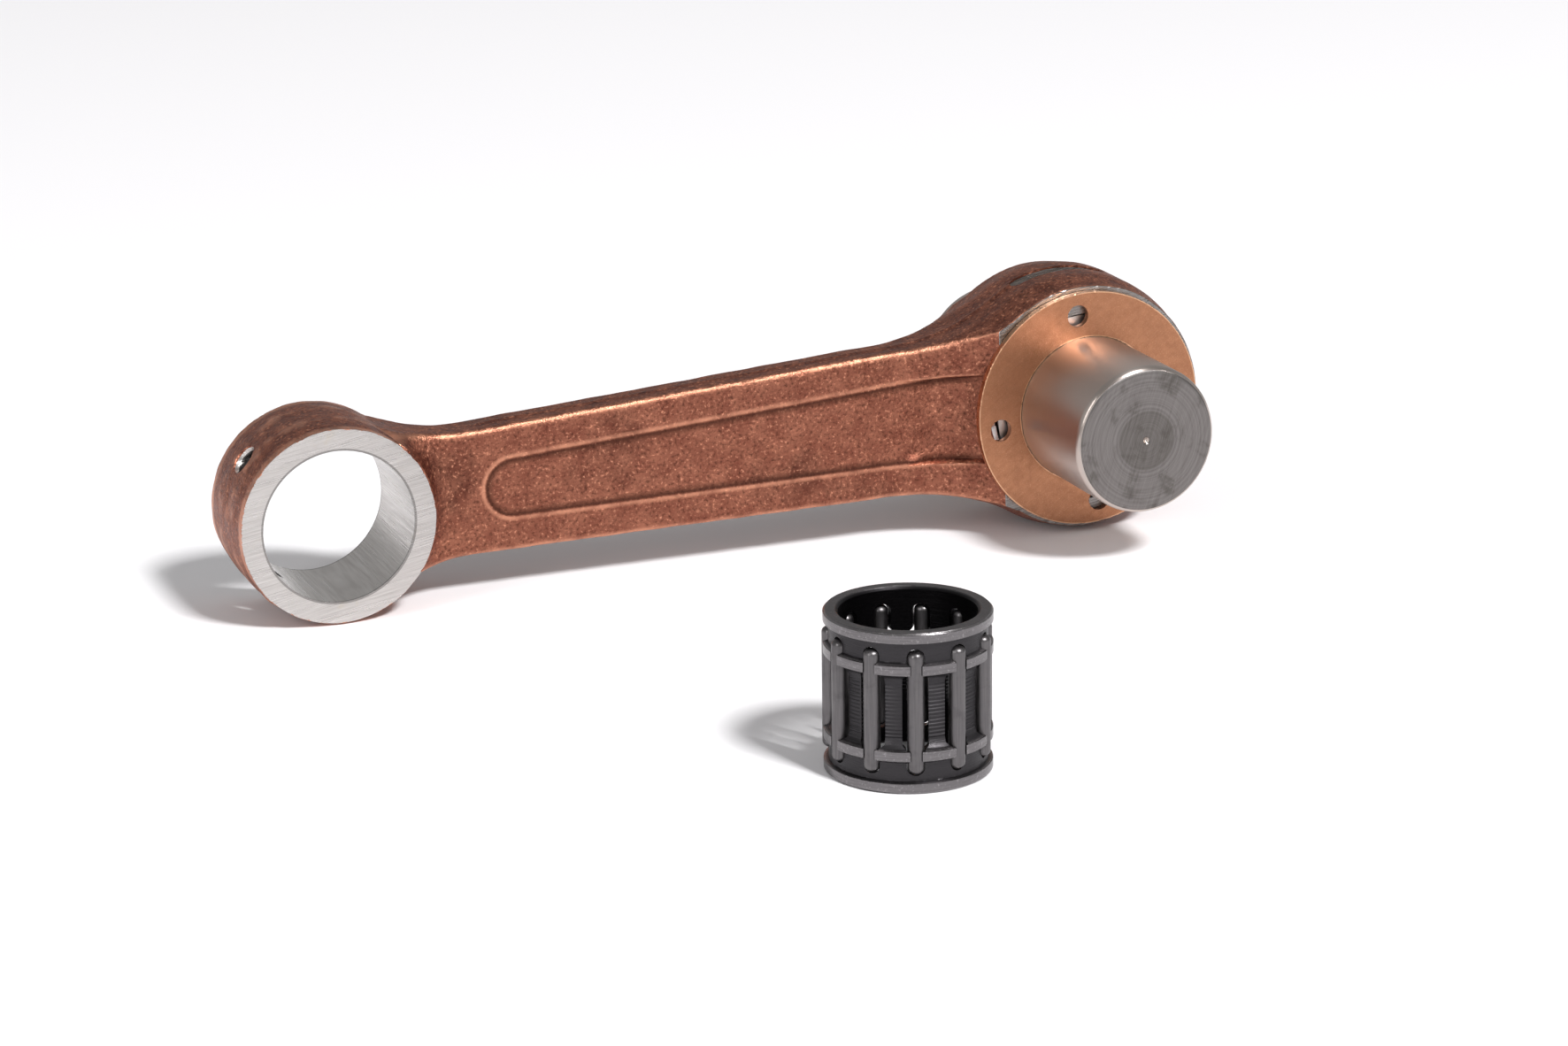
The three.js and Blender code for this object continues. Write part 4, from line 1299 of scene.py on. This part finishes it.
class RODSET_OT_stage(bpy.types.Operator):
    """Lays the white floor, and sets the room, the lights and the camera."""

    bl_idname = "rodset.stage"
    bl_label = "Set the stage"

    def execute(self, context):
        """Makes the floor as a flat square, a white room, two soft boxes and the camera."""
        stage, scene = context.scene.rodset_stage, context.scene
        half = stage.floor_half
        edge = np.array([[-half, -half, 0], [half, -half, 0], [half, half, 0], [-half, half, 0]])
        mesh = bpy.data.meshes.new("floor")
        mesh.from_pydata(edge, [], [[0, 1, 2, 3]])
        floor = bpy.data.objects.new("floor", mesh)
        scene.collection.objects.link(floor)
        material, tree, shader, _ = new_material("white_floor")
        shader.inputs["Base Color"].default_value = (0.88, 0.87, 0.885, 1)
        shader.inputs["Roughness"].default_value = 0.9
        shader.inputs["Specular IOR Level"].default_value = 0.1
        shader.inputs["Emission Color"].default_value = (1, 0.985, 1, 1)
        shader.inputs["Emission Strength"].default_value = 0.01
        mesh.materials.append(material)

        world = bpy.data.worlds.new("white_room")
        world.use_nodes = True
        scene.world = world
        tree = world.node_tree
        background = tree.nodes["Background"]
        way = add(tree, "ShaderNodeTexCoord").outputs["Generated"]
        height = add(tree, "ShaderNodeSeparateXYZ", {0: way}).outputs[2]
        shade = spread(tree, height, 0.0, 0.8, 1.35, 0.85)
        seen = add(tree, "ShaderNodeLightPath").outputs["Is Camera Ray"]
        strength = add(
            tree, "ShaderNodeMix", {0: seen, 2: sum_of(tree, "MULTIPLY", shade, stage.room), 3: 1.0}
        ).outputs[0]
        tree.links.new(strength, background.inputs["Strength"])
        background.inputs["Color"].default_value = (1, 1, 1, 1)

        soft_box("key_box", (0.63, -1.92, 2.19), (0.0, 0.0, 0.01), 0.5, 0.5, stage.key_power)
        soft_box("left_box", (-2.2, -1.2, 1.3), (0.0, 0.0, 0.02), 0.7, 1.6, stage.fill_power)

        view = bpy.data.cameras.new("camera")
        view.lens, view.sensor_width = stage.lens, 36.0
        view.clip_start, view.clip_end = 0.01, 20.0
        camera = bpy.data.objects.new("camera", view)
        scene.collection.objects.link(camera)
        a, e = stage.azimuth, stage.elevation
        back = Vector((math.sin(a) * math.cos(e), -math.cos(a) * math.cos(e), math.sin(e)))
        aim = SMALL_END + Vector(stage.aim)
        look_along(camera, aim + back * stage.distance, aim, stage.roll)
        scene.camera = camera
        scene.view_settings.view_transform = "Standard"
        return {"FINISHED"}


class RODSET_PT_panel(bpy.types.Panel):
    """Lists the steps, in order."""

    bl_idname = "RODSET_PT_panel"
    bl_label = "Rod Set"
    bl_space_type = "VIEW_3D"
    bl_region_type = "UI"
    bl_category = "Rod Set"

    def draw(self, context):
        """Draws a button for each step."""
        for step in STEPS:
            self.layout.operator(step.bl_idname)


STEPS = (
    RODSET_OT_stage,
    RODSET_OT_forging,
    RODSET_OT_crankpin,
    RODSET_OT_washers,
    RODSET_OT_roller_bearing,
    RODSET_OT_needle_cage,
    RODSET_OT_needles,
)
SETTINGS = {"rodset_sizes": RodSetSizes, "rodset_colours": RodSetColours, "rodset_stage": RodSetStage}


def register():
    """Registers the settings, the steps and the panel."""
    for name, kind in SETTINGS.items():
        bpy.utils.register_class(kind)
        setattr(bpy.types.Scene, name, bpy.props.PointerProperty(type=kind))
    for kind in (*STEPS, RODSET_PT_panel):
        bpy.utils.register_class(kind)


def unregister():
    """Takes the panel, the steps and the settings away again."""
    for kind in (RODSET_PT_panel, *reversed(STEPS)):
        bpy.utils.unregister_class(kind)
    for name, kind in SETTINGS.items():
        delattr(bpy.types.Scene, name)
        bpy.utils.unregister_class(kind)


def main():
    """Runs each step in order."""
    register()
    for step in STEPS:
        folder, name = step.bl_idname.split(".")
        getattr(getattr(bpy.ops, folder), name)()


if __name__ == "__main__":
    main()
